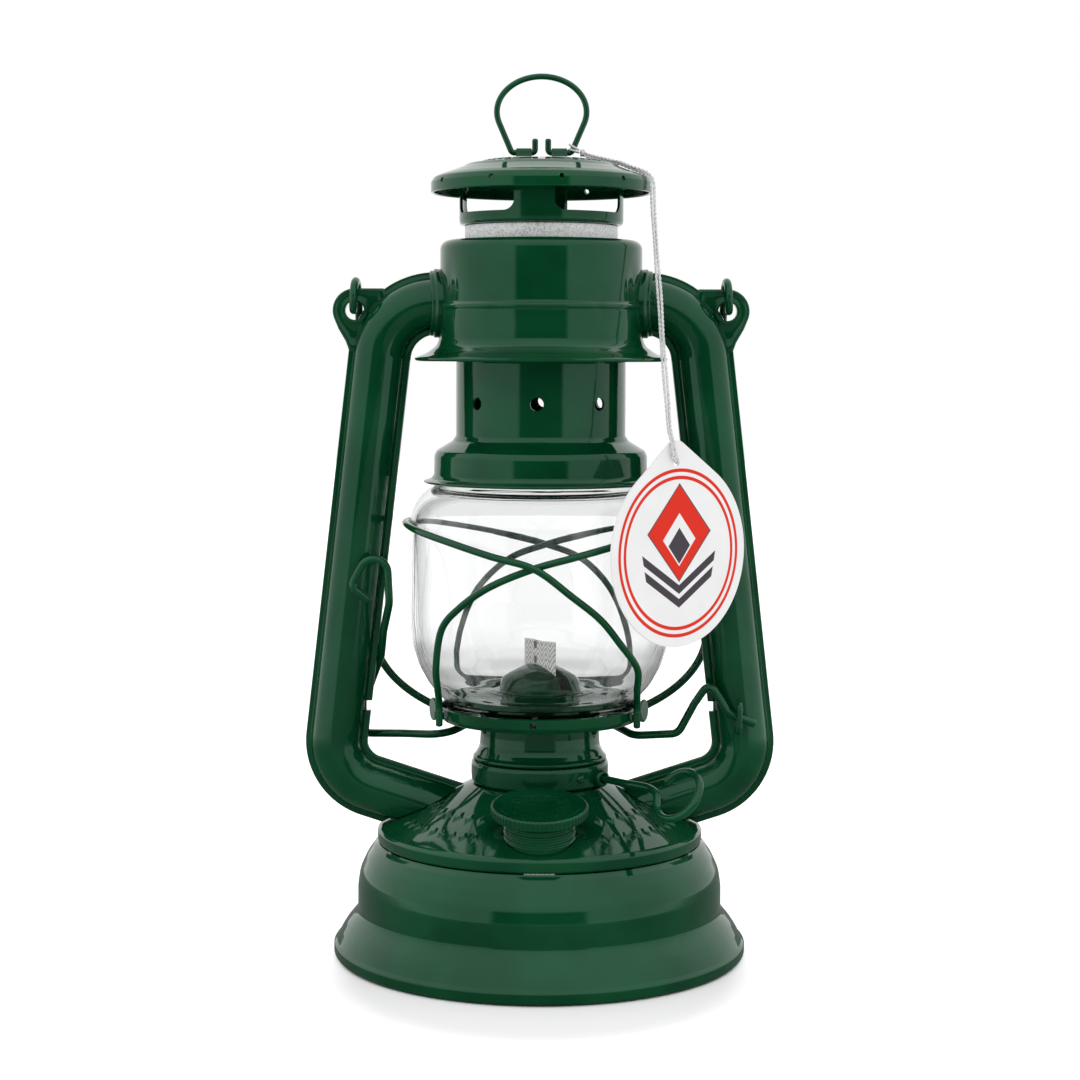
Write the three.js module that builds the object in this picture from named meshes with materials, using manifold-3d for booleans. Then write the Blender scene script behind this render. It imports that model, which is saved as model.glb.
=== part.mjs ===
// A side-tube oil lantern: a tank with its burner, a globe in a wire guard that lifts on a lever,
// a hood and chimney that slide in a drum between two air tubes, a pull ring and a bail.
// Millimetres, +Z up, origin at the middle of the base's foot, front of the lamp towards -Y.

import * as THREE from 'three';
import { mergeVertices } from 'three/addons/utils/BufferGeometryUtils.js';
import Module from 'manifold-3d';

// ---------- Driving dimensions ----------

// Sheet, gaps and facets
const sheet = 0.9;
const seatGap = 0.3;
const slideGap = 0.5;
const roundFacets = 26;
const smallFacets = 16;
const holeFacets = 8;
const wireFacets = 6;
const cordFacets = 8;
const bendFacets = 3;
const tubeBendFacets = 4;

// Base and tank
const footRadius = 61.9;
const footBeadHeight = 4.2;
const footBeadRound = 0.9;
const wallRadius = 54.7;
const flareTop = 13.4;
const shoulderBottom = 24.6;
const bandRadius = 48.5;
const bandBottom = 33.2;
const seamRadius = 48.8;
const seamBottom = 33.9;
const seamTop = 37.7;
const bottomPlateHeight = 5;
const tankConeTop = 51;
const burnerHoleRadius = 16.6;

// Filler, leaning forward
const fillerDistance = 36.7;
const fillerBase = 41.6;
const fillerLean = THREE.MathUtils.degToRad(9.5);
const fillerNeckRadius = 9.9;
const fillerRidge = 0.45;
const fillerPitch = 1.6;
const fillerRidges = 5;
const fillerNeckTop = 8;
const fillerNeckDepth = 3.4;
const fillerWall = 1.1;
const sealThickness = 0.6;
const capRadius = 14.05;
const capSkirt = 3.4;
const capTopRound = 0.6;
const capDish = 0.5;

// Burner
const socketRadius = 20.65;
const socketTop = 58.1;
const neckRadius = 17.9;
const neckWaist = 61;
const deckHeight = 78.3;
const deckRadius = 25;
const deckSkirt = 1.6;
const deckFall = 0.3;
const deckHoles = 8;
const deckHoleRadius = 0.9;
const deckHoleDistance = 14.6;
const domeRadius = 12.2;
const domeHeight = 7.7;
const domeSlotWidth = 4.2;
const wickAzimuth = THREE.MathUtils.degToRad(40);
const wickWidth = 14;
const wickThickness = 1.6;
const wickTop = 93.6;
const wickBottom = 17;
const wickTubeWall = 0.6;
const wickTubeTop = 82.6;
const wickTubeBottom = 46;
const spindleHeight = 54.3;
const spindleOffset = 6;
const spindleWireRadius = 1.1;
const knobDistance = 54.3;
const knobLoopRadius = 7.6;
const knobTilt = THREE.MathUtils.degToRad(36);
const wheelWidth = 2.4;
const wheelSpread = 3.4;
const bushLength = 2.6;
const bushRadius = 2.5;
const rivetRadius = 1.3;
const rivetAzimuth = THREE.MathUtils.degToRad(35.5);
const rivetHeight = 54.8;

// Globe, its plate and its guard
const plateRadius = 30.4;
const plateRimBottom = 70;
const plateRimTop = 74.3;
const plateInnerRadius = 19.4;
const plateDrainRadius = 1;
const glassWall = 1.9;
const glassFootRadius = 27.7;
const glassFootBottom = 71.4;
const glassRadius = 39.2;
const glassTop = 140.4;
const guardWireRadius = 1.05;
const guardGap = 0.35;
const guardSteps = 84;
const guardCrossing = 119.3;
const guardSideHeight = 129.4;
const guardFootX = 29.2;
const guardFootBottom = 70.4;
const guardFootTop = 76;
const guardBarHeight = 75.8;
const guardBarHalf = 27.4;
const guardTurn = THREE.MathUtils.degToRad(-2.2);
const clipWall = 0.7;
const clipHeight = 4.2;

// Chimney, drum and hood
const chimneyRadius = 25.4;
const shoulderTop = 154.7;
const skirtRadius = 32.1;
const skirtTop = 150.9;
const skirtFlange = 35.2;
const skirtBottom = 142.1;
const chimneyHoleRadius = 1.95;
const chimneyHoleHeight = 165.4;
const chimneyHoles = 8;
const chimneyHoleTurn = THREE.MathUtils.degToRad(-2.6);
const chimneyTopInner = 21.5;
const drumRadius = 30.2;
const tubeArmHeight = 195;
const drumAboveArm = 18.7;
const drumBelowArm = 16.2;
const drumBeadBelowArm = 1;
const drumRound = 2.7;
const drumBeadSize = 0.8;
const drumWaistRise = 4.6;
const flareRadius = 37.9;
const springRoom = 21.6;
const collarRadius = 22.8;
const cageAboveDrum = 4.5;
const cageRadius = 24.5;
const cageHeight = 15.7;
const cageRingHeight = 3.4;
const cageLegs = 4;
const cageLegWidth = 12;
const cageLegRound = 3;
const cageTurn = THREE.MathUtils.degToRad(-5);
const hoodRadius = 33;
const hoodRimAboveCage = 9.7;
const hoodRimHeight = 4.3;
const hoodRise = 6.2;
const hoodHoles = 10;
const hoodHoleRadius = 0.8;
const hoodHoleDistance = 30;
const springWireRadius = 0.8;
const springTurns = 3;

// Pull ring in its lugs
const lugInside = 3;
const lugOutside = 7.6;
const lugRadius = 2;
const ringPivotRise = 1.5;
const ringWireRadius = 0.9;
const ringLeg = 8.9;
const ringHalfWidth = 13.35;
const ringShoulderRise = 12.1;
const ringShoulderTurn = THREE.MathUtils.degToRad(20);
const ringRise = 23.5;
const ringLugBend = 1.3;
const ringEnd = 1.95;
const ringEndRise = 3.7;

// Heights that follow the arms of the air tubes, from the drum up to the ring
const drumTop = tubeArmHeight + drumAboveArm;
const drumBeadHeight = tubeArmHeight - drumBeadBelowArm;
const flareHeight = tubeArmHeight - drumBelowArm;
const drumWaistBottom = flareHeight + drumWaistRise;
const chimneyTop = drumTop - springRoom;
const cageBottom = drumTop + cageAboveDrum;
const hoodRimBottom = cageBottom + hoodRimAboveCage;
const hoodRimTop = hoodRimBottom + hoodRimHeight;
const hoodTop = hoodRimTop + hoodRise;
const ringPivotHeight = hoodTop + ringPivotRise;

// Air tubes and ears
const tubeHalfWidth = 7.4;
const tubeHalfDepth = 7.5;
const seamHalfWidth = 9.2;
const tubeTopCorner = 46.6;
const tubeFootCorner = 62.5;
const tubeFootHeight = 53.2;
const tubeTopBend = 17;
const tubeFootBend = 14.5;
const tubeFootSlope = 0.325;
const tubeFootReach = 30;
const earX = 55.7;
const earBelowArm = 2.2;
const earHeight = tubeArmHeight - earBelowArm;
const earFootDrop = 11.8;
const earHoleRadius = 2.8;
const earRadius = 6.7;
const eyeletWall = 0.5;
const eyeletLip = 0.5;
const latchHeight = 74;
const latchDepth = 1.3;
const latchWidth = 3;
const armCollarReach = 10.4;
const armCollarHalfDepth = 9.4;
const armCollarThickness = 1.4;
const footFlangeHalfWidth = 10.6;
const footFlangeThickness = 1.1;

// Bail
const bailWireRadius = 1.2;
const bailEyeRadius = 4.4;
const bailEyeEnd = 302;
const bailEyeOffset = 0.6;
const bailLean = THREE.MathUtils.degToRad(8);
const bailLegHalf = 51.5;
const bailLegLength = 105;
const bailDrop = 30.5;

// Lift lever
const leverWireRadius = 1.2;
const leverPivotX = 59.3;
const leverPivotHeight = 72;
const stapleWireRadius = 0.9;
const stapleHalfHeight = 4.2;

// String and card tag
const stringRadius = 0.7;
const stringSteps = 30;
const knotRadius = 1.5;
const knotX = 11.7;
const tagWidth = 54.6;
const tagHeight = 60;
const tagTopRadius = 5;
const tagThickness = 0.6;
const tagTurn = THREE.MathUtils.degToRad(42);
const tagTilt = THREE.MathUtils.degToRad(-3);
const tagCentre = [39.9, -26.8, 125.4];
const tagHoleDrop = 6.4;
const tagHoleRadius = 1.1;

// ---------- Solids ----------

const wasm = await Module();
wasm.setup();

const group = new THREE.Group();
group.name = 'oil_lamp';

function toSolid(geometry) {
  const bare = geometry.clone();
  bare.deleteAttribute('normal');
  bare.deleteAttribute('uv');
  const merged = mergeVertices(bare, 1e-4);
  return new wasm.Manifold(new wasm.Mesh({
    numProp: 3,
    vertProperties: new Float32Array(merged.attributes.position.array),
    triVerts: new Uint32Array(merged.index.array),
  }));
}

function toGeometry(solid) {
  const mesh = solid.getMesh();
  const geometry = new THREE.BufferGeometry();
  geometry.setAttribute('position', new THREE.BufferAttribute(mesh.vertProperties, 3));
  geometry.setIndex(new THREE.BufferAttribute(mesh.triVerts, 1));
  geometry.computeVertexNormals();
  return geometry;
}

const materials = {
  enamel: new THREE.MeshStandardMaterial({ color: 0x12452f, roughness: 0.18, metalness: 0 }),
  zinc: new THREE.MeshStandardMaterial({ color: 0xb9bbbc, roughness: 0.5, metalness: 0.9 }),
  steel: new THREE.MeshStandardMaterial({ color: 0x9a9c9e, roughness: 0.35, metalness: 1 }),
  brass: new THREE.MeshStandardMaterial({ color: 0xb08d4a, roughness: 0.35, metalness: 1 }),
  glass: new THREE.MeshStandardMaterial({
    color: 0xe9efee, roughness: 0.05, metalness: 0, transparent: true, opacity: 0.3,
  }),
  cotton: new THREE.MeshStandardMaterial({ color: 0xd9d6cc, roughness: 0.95, metalness: 0 }),
  cork: new THREE.MeshStandardMaterial({ color: 0xa9825a, roughness: 0.9, metalness: 0 }),
  card: new THREE.MeshStandardMaterial({ color: 0xe4e4e0, roughness: 0.6, metalness: 0 }),
  string: new THREE.MeshStandardMaterial({ color: 0xb9bcbb, roughness: 0.8, metalness: 0 }),
};

function add(name, solid, material) {
  const mesh = new THREE.Mesh(toGeometry(solid), materials[material]);
  mesh.name = name;
  group.add(mesh);
}

// A solid of revolution about Z. Its [radius, height] points close on themselves, or start and end on the axis.
function turned(points, facets = roundFacets) {
  const outline = points.map(([radius, height]) => new THREE.Vector2(radius, height));
  if (THREE.ShapeUtils.area(outline) < 0) outline.reverse();
  const open = outline.some((point) => point.x === 0);
  if (open) {
    while (!(outline[0].x === 0 && outline[outline.length - 1].x === 0)) outline.push(outline.shift());
  } else {
    outline.push(outline[0].clone());
  }
  return toSolid(new THREE.LatheGeometry(outline, facets).rotateX(Math.PI / 2));
}

// The outline of a sheet: the given outer line and the same line moved square to itself by the thickness.
function sheetOutline(line, thickness = sheet) {
  const points = line.map(([x, y]) => new THREE.Vector2(x, y));
  const inner = points.map((point, i) => {
    const before = points[Math.max(i - 1, 0)];
    const after = points[Math.min(i + 1, points.length - 1)];
    const into = point.equals(before) ? after.clone().sub(point) : point.clone().sub(before);
    const out = point.equals(after) ? into.clone() : after.clone().sub(point);
    into.normalize();
    out.normalize();
    const mitre = into.clone().add(out).normalize();
    const reach = thickness / Math.max(mitre.dot(into), 0.35);
    const moved = [point.x - mitre.y * reach, point.y + mitre.x * reach];
    return point.x === 0 ? [0, moved[1]] : moved;
  });
  return [...line, ...inner.reverse()];
}

function bezier(from, control, to, steps) {
  const curve = new THREE.QuadraticBezierCurve(
    new THREE.Vector2(...from), new THREE.Vector2(...control), new THREE.Vector2(...to));
  return curve.getPoints(steps).map((point) => [point.x, point.y]);
}

// A route that is sampled only where it bends, with its tangent at each station.
class Route extends THREE.Curve {
  constructor(stations) {
    super();
    this.stations = stations;
  }

  station(share) {
    return this.stations[Math.round(share * (this.stations.length - 1))];
  }

  getPoint(share, target = new THREE.Vector3()) {
    return target.copy(this.station(share).point);
  }

  getPointAt(share, target) {
    return this.getPoint(share, target);
  }

  getTangentAt(share, target = new THREE.Vector3()) {
    return target.copy(this.station(share).tangent);
  }
}

// Straight runs between [x, y, z, bend radius] corners.
function bentRoute(corners, radius, facets = bendFacets) {
  const points = corners.map(([x, y, z]) => new THREE.Vector3(x, y, z));
  const stations = [];
  const last = points.length - 1;
  const along = (from, to) => to.clone().sub(from).normalize();
  stations.push({ point: points[0], tangent: along(points[0], points[1]) });
  for (let i = 1; i < last; i += 1) {
    const into = along(points[i - 1], points[i]);
    const out = along(points[i], points[i + 1]);
    const angle = into.angleTo(out);
    const before = points[i - 1].distanceTo(points[i]) * (i === 1 ? 0.998 : 0.49);
    const after = points[i].distanceTo(points[i + 1]) * (i === last - 1 ? 0.998 : 0.49);
    const wanted = corners[i][3] ?? radius;
    const cut = Math.min(wanted * Math.tan(angle / 2), before, after);
    const bend = cut / Math.tan(angle / 2);
    const inward = out.clone().sub(into).normalize();
    const centre = points[i].clone().addScaledVector(inward, bend / Math.cos(angle / 2));
    const start = points[i].clone().addScaledVector(into, -cut).sub(centre);
    const axis = into.clone().cross(out).normalize();
    for (let k = 0; k <= facets; k += 1) {
      const turn = (angle * k) / facets;
      stations.push({
        point: start.clone().applyAxisAngle(axis, turn).add(centre),
        tangent: into.clone().applyAxisAngle(axis, turn),
      });
    }
  }
  stations.push({ point: points[last], tangent: along(points[last - 1], points[last]) });
  return new Route(stations);
}

// A bent route in the XZ plane that keeps the first axis of its section on -Y.
class FlatRoute extends Route {
  computeFrenetFrames() {
    const tangents = this.stations.map((station) => station.tangent);
    const normals = tangents.map(() => new THREE.Vector3(0, -1, 0));
    const binormals = tangents.map((tangent, i) => tangent.clone().cross(normals[i]));
    return { tangents, normals, binormals };
  }
}

function flatRoute(corners, radius, facets) {
  return new FlatRoute(bentRoute(corners, radius, facets).stations);
}

function polygon(points) {
  const outline = points.map(([x, y]) => new THREE.Vector2(x, y));
  if (THREE.ShapeUtils.area(outline) < 0) outline.reverse();
  return new THREE.Shape(outline);
}

function circlePoints(radius, facets) {
  return Array.from({ length: facets }, (_, i) => {
    const angle = (2 * Math.PI * i) / facets;
    return [radius * Math.cos(angle), radius * Math.sin(angle)];
  });
}

function swept(shape, route, steps) {
  return toSolid(new THREE.ExtrudeGeometry(shape, { extrudePath: route, steps }));
}

function wire(route, radius, facets = wireFacets) {
  return swept(polygon(circlePoints(radius, facets)), route, route.stations.length - 1);
}

function curvedWire(points, radius, steps, facets = wireFacets) {
  const curve = new THREE.CatmullRomCurve3(points.map((point) => new THREE.Vector3(...point)), false, 'centripetal');
  return swept(polygon(circlePoints(radius, facets)), curve, steps);
}

function rod(radius, from, to, facets = smallFacets) {
  const start = new THREE.Vector3(...from);
  const end = new THREE.Vector3(...to);
  const middle = start.clone().add(end).multiplyScalar(0.5);
  const geometry = new THREE.CylinderGeometry(radius, radius, start.distanceTo(end), facets);
  const turn = new THREE.Quaternion().setFromUnitVectors(
    new THREE.Vector3(0, 1, 0), end.clone().sub(start).normalize());
  geometry.applyQuaternion(turn).translate(middle.x, middle.y, middle.z);
  return toSolid(geometry);
}

function block(low, high) {
  const size = high.map((value, i) => value - low[i]);
  const geometry = new THREE.BoxGeometry(...size);
  geometry.translate(...low.map((value, i) => value + size[i] / 2));
  return toSolid(geometry);
}

// A flat plate in the XZ plane, between two depths.
function plateXZ(shape, low, high) {
  const geometry = new THREE.ExtrudeGeometry(shape, { depth: high - low, bevelEnabled: false });
  geometry.rotateX(Math.PI / 2).translate(0, high, 0);
  return toSolid(geometry);
}

const aroundZ = (angle) => new THREE.Matrix4().makeRotationZ(angle);

function moved(solid, matrix) {
  return solid.transform([...matrix.elements]);
}

function mirrored(solid) {
  return solid.mirror([1, 0, 0]);
}

// ---------- Base and tank ----------

const tankConeBottom = [seamRadius - 1.3, seamTop + seatGap * 2];
const coneSlope = (tankConeTop - tankConeBottom[1]) / (tankConeBottom[0] - socketRadius);

function coneHeight(radius, above = 0) {
  return tankConeBottom[1] + (tankConeBottom[0] - radius) * coneSlope + above;
}

function tankBase() {
  const line = [
    [footRadius - 2 * footBeadRound, 0],
    [footRadius - footBeadRound, 0],
    [footRadius, footBeadRound],
    [footRadius, footBeadHeight - footBeadRound],
    ...bezier([footRadius - footBeadRound, footBeadHeight], [60.1, 8.8], [wallRadius, flareTop], 3),
    ...bezier([wallRadius, shoulderBottom], [wallRadius - 0.5, 30], [bandRadius + 0.8, bandBottom], 2),
    [bandRadius, seamBottom - seatGap],
  ];
  return turned(sheetOutline(line));
}

function tankBottom() {
  const rim = wallRadius - sheet - seatGap;
  const line = [
    [0, bottomPlateHeight], [rim - 5, bottomPlateHeight], [rim - 1.2, bottomPlateHeight + 2.6],
    [rim, bottomPlateHeight + 9], [rim, bottomPlateHeight + 12],
  ];
  return turned(sheetOutline(line));
}

function fillerMatrix() {
  return new THREE.Matrix4().makeTranslation(0, -fillerDistance, fillerBase)
    .multiply(new THREE.Matrix4().makeRotationX(fillerLean));
}

function tankTop() {
  const line = [
    [bandRadius - sheet, seamBottom],
    [seamRadius, seamBottom],
    [seamRadius, seamTop - 0.5],
    [seamRadius - 0.6, seamTop],
    tankConeBottom,
    [socketRadius, tankConeTop],
    [burnerHoleRadius, tankConeTop],
  ];
  const hole = rod(fillerNeckRadius + fillerRidge + seatGap, [0, 0, -8], [0, 0, 12]);
  return turned(sheetOutline(line)).subtract(moved(hole, fillerMatrix()));
}

function fillerNeck() {
  const ridges = [];
  for (let i = 0; i < fillerRidges; i += 1) {
    const height = fillerNeckTop - 1.2 - i * fillerPitch;
    ridges.push([fillerNeckRadius, height + 0.5], [fillerNeckRadius + fillerRidge, height],
      [fillerNeckRadius, height - 0.5]);
  }
  const inner = fillerNeckRadius - fillerWall;
  const top = [[inner, fillerNeckTop], [fillerNeckRadius - 0.3, fillerNeckTop]];
  const low = -fillerNeckDepth;
  const ridgesAbove = ridges.filter(([, height]) => height > 0.4);
  return moved(turned([...top, ...ridgesAbove, [fillerNeckRadius, 0.2], [fillerNeckRadius - 0.05, low],
    [inner, low]], smallFacets), fillerMatrix());
}

function fillerSeal() {
  const low = fillerNeckTop + seatGap;
  return moved(turned([
    [0, low], [fillerNeckRadius, low], [fillerNeckRadius, low + sealThickness], [0, low + sealThickness],
  ], smallFacets), fillerMatrix());
}

function fillerCap() {
  const ceiling = fillerNeckTop + 2 * seatGap + sealThickness;
  const top = ceiling + sheet;
  const bore = fillerNeckRadius + fillerRidge + slideGap;
  return moved(turned([
    [0, ceiling], [bore, ceiling], [bore, top - capSkirt], [capRadius - 0.3, top - capSkirt],
    [capRadius, top - capSkirt + 0.5], [capRadius, top - capTopRound], [capRadius - capTopRound, top],
    [capRadius - 2, top - 0.1], [capRadius - 3.4, top - capDish], [0, top - 0.2],
  ], 24), fillerMatrix());
}

// ---------- Burner ----------

const wickTurn = wickAzimuth - Math.PI / 2;
const spindleDirection = new THREE.Vector3(Math.sin(wickAzimuth), -Math.cos(wickAzimuth), 0);
const spindleSide = new THREE.Vector3(Math.cos(wickAzimuth), Math.sin(wickAzimuth), 0);

// A point at a distance along the spindle, at its height.
function onSpindle(distance) {
  return spindleDirection.clone().multiplyScalar(distance)
    .addScaledVector(spindleSide, spindleOffset).setZ(spindleHeight);
}

function burnerSocket() {
  const low = tankConeTop + seatGap;
  const line = [
    [burnerHoleRadius + 0.8, low], [socketRadius, low], [socketRadius, socketTop - 0.7],
    [socketRadius - 0.7, socketTop], [socketRadius - 1.6, socketTop],
  ];
  const hole = rod(spindleWireRadius + slideGap, onSpindle(10).toArray(), onSpindle(30).toArray(), 12);
  return turned(sheetOutline(line)).subtract(hole);
}

function burnerNeck() {
  const line = [
    [socketRadius - 0.7, socketTop + seatGap],
    ...bezier([socketRadius - 0.9, socketTop + 0.9], [neckRadius, neckWaist - 0.6], [neckRadius, neckWaist + 3], 3),
    [neckRadius, deckHeight - sheet - deckFall],
  ];
  return turned(sheetOutline(line));
}

function burnerDeck() {
  const line = [
    [deckRadius, deckHeight - deckSkirt], [deckRadius, deckHeight - deckFall - 0.4],
    [deckRadius - 0.4, deckHeight - deckFall], [domeRadius + 0.7, deckHeight], [domeRadius - 2.4, deckHeight],
  ];
  let deck = turned(sheetOutline(line));
  for (let i = 0; i < deckHoles; i += 1) {
    const angle = (2 * Math.PI * i) / deckHoles;
    const x = deckHoleDistance * Math.cos(angle);
    const y = deckHoleDistance * Math.sin(angle);
    deck = deck.subtract(rod(deckHoleRadius, [x, y, deckHeight - 3], [x, y, deckHeight + 2], 6));
  }
  return deck;
}

function burnerDome() {
  const low = deckHeight + seatGap;
  const line = [[domeRadius, low]];
  const steps = 5;
  for (let i = 1; i <= steps; i += 1) {
    const angle = (Math.PI / 2) * (i / steps);
    line.push([i === steps ? 0 : domeRadius * Math.cos(angle), low + 0.6 + (domeHeight - 0.6) * Math.sin(angle)]);
  }
  const slot = block([-10.4, -domeSlotWidth / 2, low + 2], [10.4, domeSlotWidth / 2, low + domeHeight + 2]);
  return turned(sheetOutline(line), 24).subtract(moved(slot, aroundZ(wickTurn)));
}

function flatBar(halfWidth, halfThickness, low, high) {
  return moved(block([-halfWidth, -halfThickness, low], [halfWidth, halfThickness, high]), aroundZ(wickTurn));
}

function wickTube() {
  const inner = [wickWidth / 2 + 0.4, wickThickness / 2 + 0.4];
  const outer = inner.map((value) => value + wickTubeWall);
  const window = moved(block([-6.4, 0, spindleHeight - 4.4], [6.4, 6, spindleHeight + 4.4]), aroundZ(wickTurn));
  return flatBar(outer[0], outer[1], wickTubeBottom, wickTubeTop)
    .subtract(flatBar(inner[0], inner[1], wickTubeBottom - 1, wickTubeTop + 1)).subtract(window);
}

function wick() {
  return flatBar(wickWidth / 2, wickThickness / 2, wickBottom, wickTop);
}

function wickWheel(side) {
  const radius = spindleOffset - wickThickness / 2 - seatGap;
  const at = side * wheelSpread;
  const disc = rod(radius, onSpindle(at - wheelWidth / 2).toArray(), onSpindle(at + wheelWidth / 2).toArray(), 16);
  return disc.subtract(rod(spindleWireRadius + seatGap, onSpindle(-20).toArray(), onSpindle(20).toArray(), 12));
}

function wickKnob() {
  const up = new THREE.Vector3(0, 0, Math.cos(knobTilt)).addScaledVector(spindleSide, Math.sin(knobTilt));
  const centre = onSpindle(knobDistance);
  const corners = [onSpindle(-wheelSpread - wheelWidth), onSpindle(knobDistance - knobLoopRadius)];
  for (let angle = 205; angle <= 515; angle += 31) {
    const turn = THREE.MathUtils.degToRad(angle);
    corners.push(centre.clone().addScaledVector(spindleDirection, knobLoopRadius * Math.cos(turn))
      .addScaledVector(up, knobLoopRadius * Math.sin(turn)));
  }
  return wire(bentRoute(corners.map((corner) => corner.toArray()), 5, 1), spindleWireRadius);
}

function spindleBush() {
  const from = Math.sqrt(socketRadius ** 2 - spindleOffset ** 2);
  const outer = rod(bushRadius, onSpindle(from - 3).toArray(), onSpindle(from + bushLength).toArray(), 16);
  const bore = rod(spindleWireRadius + slideGap, onSpindle(0).toArray(), onSpindle(40).toArray(), 12);
  const ring = rod(socketRadius + seatGap, [0, 0, spindleHeight - 8], [0, 0, spindleHeight + 8], roundFacets);
  return outer.subtract(bore).subtract(ring);
}

function burnerRivet() {
  const out = [Math.sin(rivetAzimuth), -Math.cos(rivetAzimuth)];
  const at = (distance) => [out[0] * distance, out[1] * distance, rivetHeight];
  const ring = rod(socketRadius + seatGap, [0, 0, rivetHeight - 8], [0, 0, rivetHeight + 8], roundFacets);
  return rod(rivetRadius, at(socketRadius - 1), at(socketRadius + 1), 12).subtract(ring);
}

// ---------- Globe, plate and guard ----------

function globePlate() {
  const line = [
    [plateInnerRadius, plateRimBottom + 0.9], [plateRadius - 2.9, plateRimBottom],
    [plateRadius - 1.2, plateRimBottom + 0.2], [plateRadius - 0.2, plateRimBottom + 1.5],
    [plateRadius, plateRimTop],
  ];
  const drain = rod(plateDrainRadius, [-2, -plateRadius - 2, plateRimBottom + 2.7],
    [-2, -plateRadius + 3, plateRimBottom + 2.7], 8);
  return turned(sheetOutline(line)).subtract(drain);
}

// The glass radius at each height, from the foot to the upper edge.
const glassLine = [
  [glassFootRadius, glassFootBottom], [glassFootRadius, glassFootBottom + 3.4],
  [glassFootRadius + 3.3, glassFootBottom + 6.7], [33.4, 81.3], [36.4, 86.7], [38.5, 93.4],
  [glassRadius, 99.4], [glassRadius, glassTop - 10], [glassRadius - 0.9, glassTop - 5.4], [32.9, glassTop],
];

function glassGlobe() {
  return turned(sheetOutline(glassLine, glassWall));
}

const guardRadius = glassRadius + guardGap + guardWireRadius;
const guardOver = guardRadius + 2 * guardWireRadius + seatGap;
const guardFootDistance = plateRadius + seatGap * 1.5 + clipWall + seatGap + guardWireRadius;
const guardFootY = -Math.sqrt(guardFootDistance ** 2 - guardFootX ** 2);
const guardBarY = glassFootRadius + 2.5;

// Each half's front arch, as azimuth and height: the wire was bent by hand, so the right arch is narrower.
const leftArch = [[-42, 100.8], [-33, 107], [-19, 113.6]];
const rightArch = [[-36, 97.5], [-27.5, 104.2], [-14.5, 111.4]];

// Half of the guard wire, from the front left foot to the left end of the bar behind the globe.
function guardHalf(crossing, arch) {
  const round = (degrees, height, radius = guardRadius) => {
    const angle = THREE.MathUtils.degToRad(degrees);
    return [radius * Math.sin(angle), -radius * Math.cos(angle), height];
  };
  const near = (guardRadius + crossing) / 2;
  const foot = (back, height) => [-guardFootX, guardFootY - back, height];
  return [
    foot(0, guardFootBottom), foot(0, guardFootBottom + 2.8), foot(0, guardFootTop), foot(1.4, guardFootTop + 2),
    foot(6.2, guardFootTop + 6.2), foot(11.6, guardFootTop + 13),
    round(...arch[0]), round(...arch[1]), round(...arch[2], near),
    round(0, guardCrossing, crossing), round(17, guardCrossing + 3.2, near), round(35, 125.4),
    round(62, 128.4), round(90, guardSideHeight), round(118, 128.4), round(145, 125.4),
    round(163, guardCrossing + 3.2, near), round(180, guardCrossing, crossing),
    round(197, guardCrossing - 4.4, near), round(213, 105.5), round(221, 94, guardRadius + 0.8),
    [-guardBarHalf - 1.8, guardBarY + 0.4, guardBarHeight + 7], [-guardBarHalf - 0.8, guardBarY, guardBarHeight + 1.6],
    [-guardBarHalf + 1, guardBarY, guardBarHeight], [-guardBarHalf + 8, guardBarY, guardBarHeight],
  ];
}

function wireGuard() {
  const left = guardHalf(guardRadius, leftArch);
  const right = guardHalf(guardOver, rightArch).map(([x, y, z]) => [-x, y, z]).reverse();
  return moved(curvedWire([...left, ...right], guardWireRadius, guardSteps), aroundZ(guardTurn));
}

function guardClip(side) {
  const x = side * guardFootX;
  const low = plateRimBottom + 0.3;
  const inner = guardWireRadius + seatGap;
  const roll = rod(inner + clipWall, [x, guardFootY, low], [x, guardFootY, low + clipHeight], 12)
    .subtract(rod(inner, [x, guardFootY, low - 1], [x, guardFootY, low + clipHeight + 1], 12));
  return moved(roll, aroundZ(guardTurn));
}

// ---------- Chimney, drum and hood ----------

function chimney() {
  const line = [
    [skirtFlange, skirtBottom - 0.8], [skirtFlange, skirtBottom], [skirtRadius, skirtBottom + 1.6],
    [skirtRadius - 0.3, skirtTop - 0.9], [skirtRadius - 0.9, skirtTop + 0.2],
    [chimneyRadius, shoulderTop], [chimneyRadius, chimneyTop - 0.6],
    [chimneyRadius - 0.6, chimneyTop], [chimneyTopInner, chimneyTop],
  ];
  let body = turned(sheetOutline(line));
  for (let i = 0; i < chimneyHoles; i += 1) {
    const angle = chimneyHoleTurn - Math.PI / 2 + (2 * Math.PI * i) / chimneyHoles;
    const out = [Math.cos(angle), Math.sin(angle)];
    const at = (distance) => [out[0] * distance, out[1] * distance, chimneyHoleHeight];
    body = body.subtract(rod(chimneyHoleRadius, at(chimneyRadius - 3), at(chimneyRadius + 2), holeFacets));
  }
  return body;
}

function hoodCollar() {
  const line = [[collarRadius, chimneyTop + seatGap], [collarRadius, cageBottom - seatGap]];
  return turned(sheetOutline(line));
}

function drum() {
  const line = [
    ...bezier([flareRadius, flareHeight], [drumRadius + 1.8, flareHeight + 1.1], [drumRadius + 0.4, drumWaistBottom], 3),
    [drumRadius + 0.4, drumBeadHeight - 0.9], [drumRadius + drumBeadSize, drumBeadHeight - 0.3],
    [drumRadius + drumBeadSize, drumBeadHeight + 0.3], [drumRadius, drumBeadHeight + 0.9],
    ...bezier([drumRadius, drumTop - drumRound], [drumRadius, drumTop], [drumRadius - drumRound, drumTop], 2),
    [collarRadius + slideGap, drumTop],
  ];
  const ports = rod(tubeHalfWidth - 0.8, [-flareRadius, 0, tubeArmHeight], [flareRadius, 0, tubeArmHeight], 16);
  return turned(sheetOutline(line)).subtract(ports);
}

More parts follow.
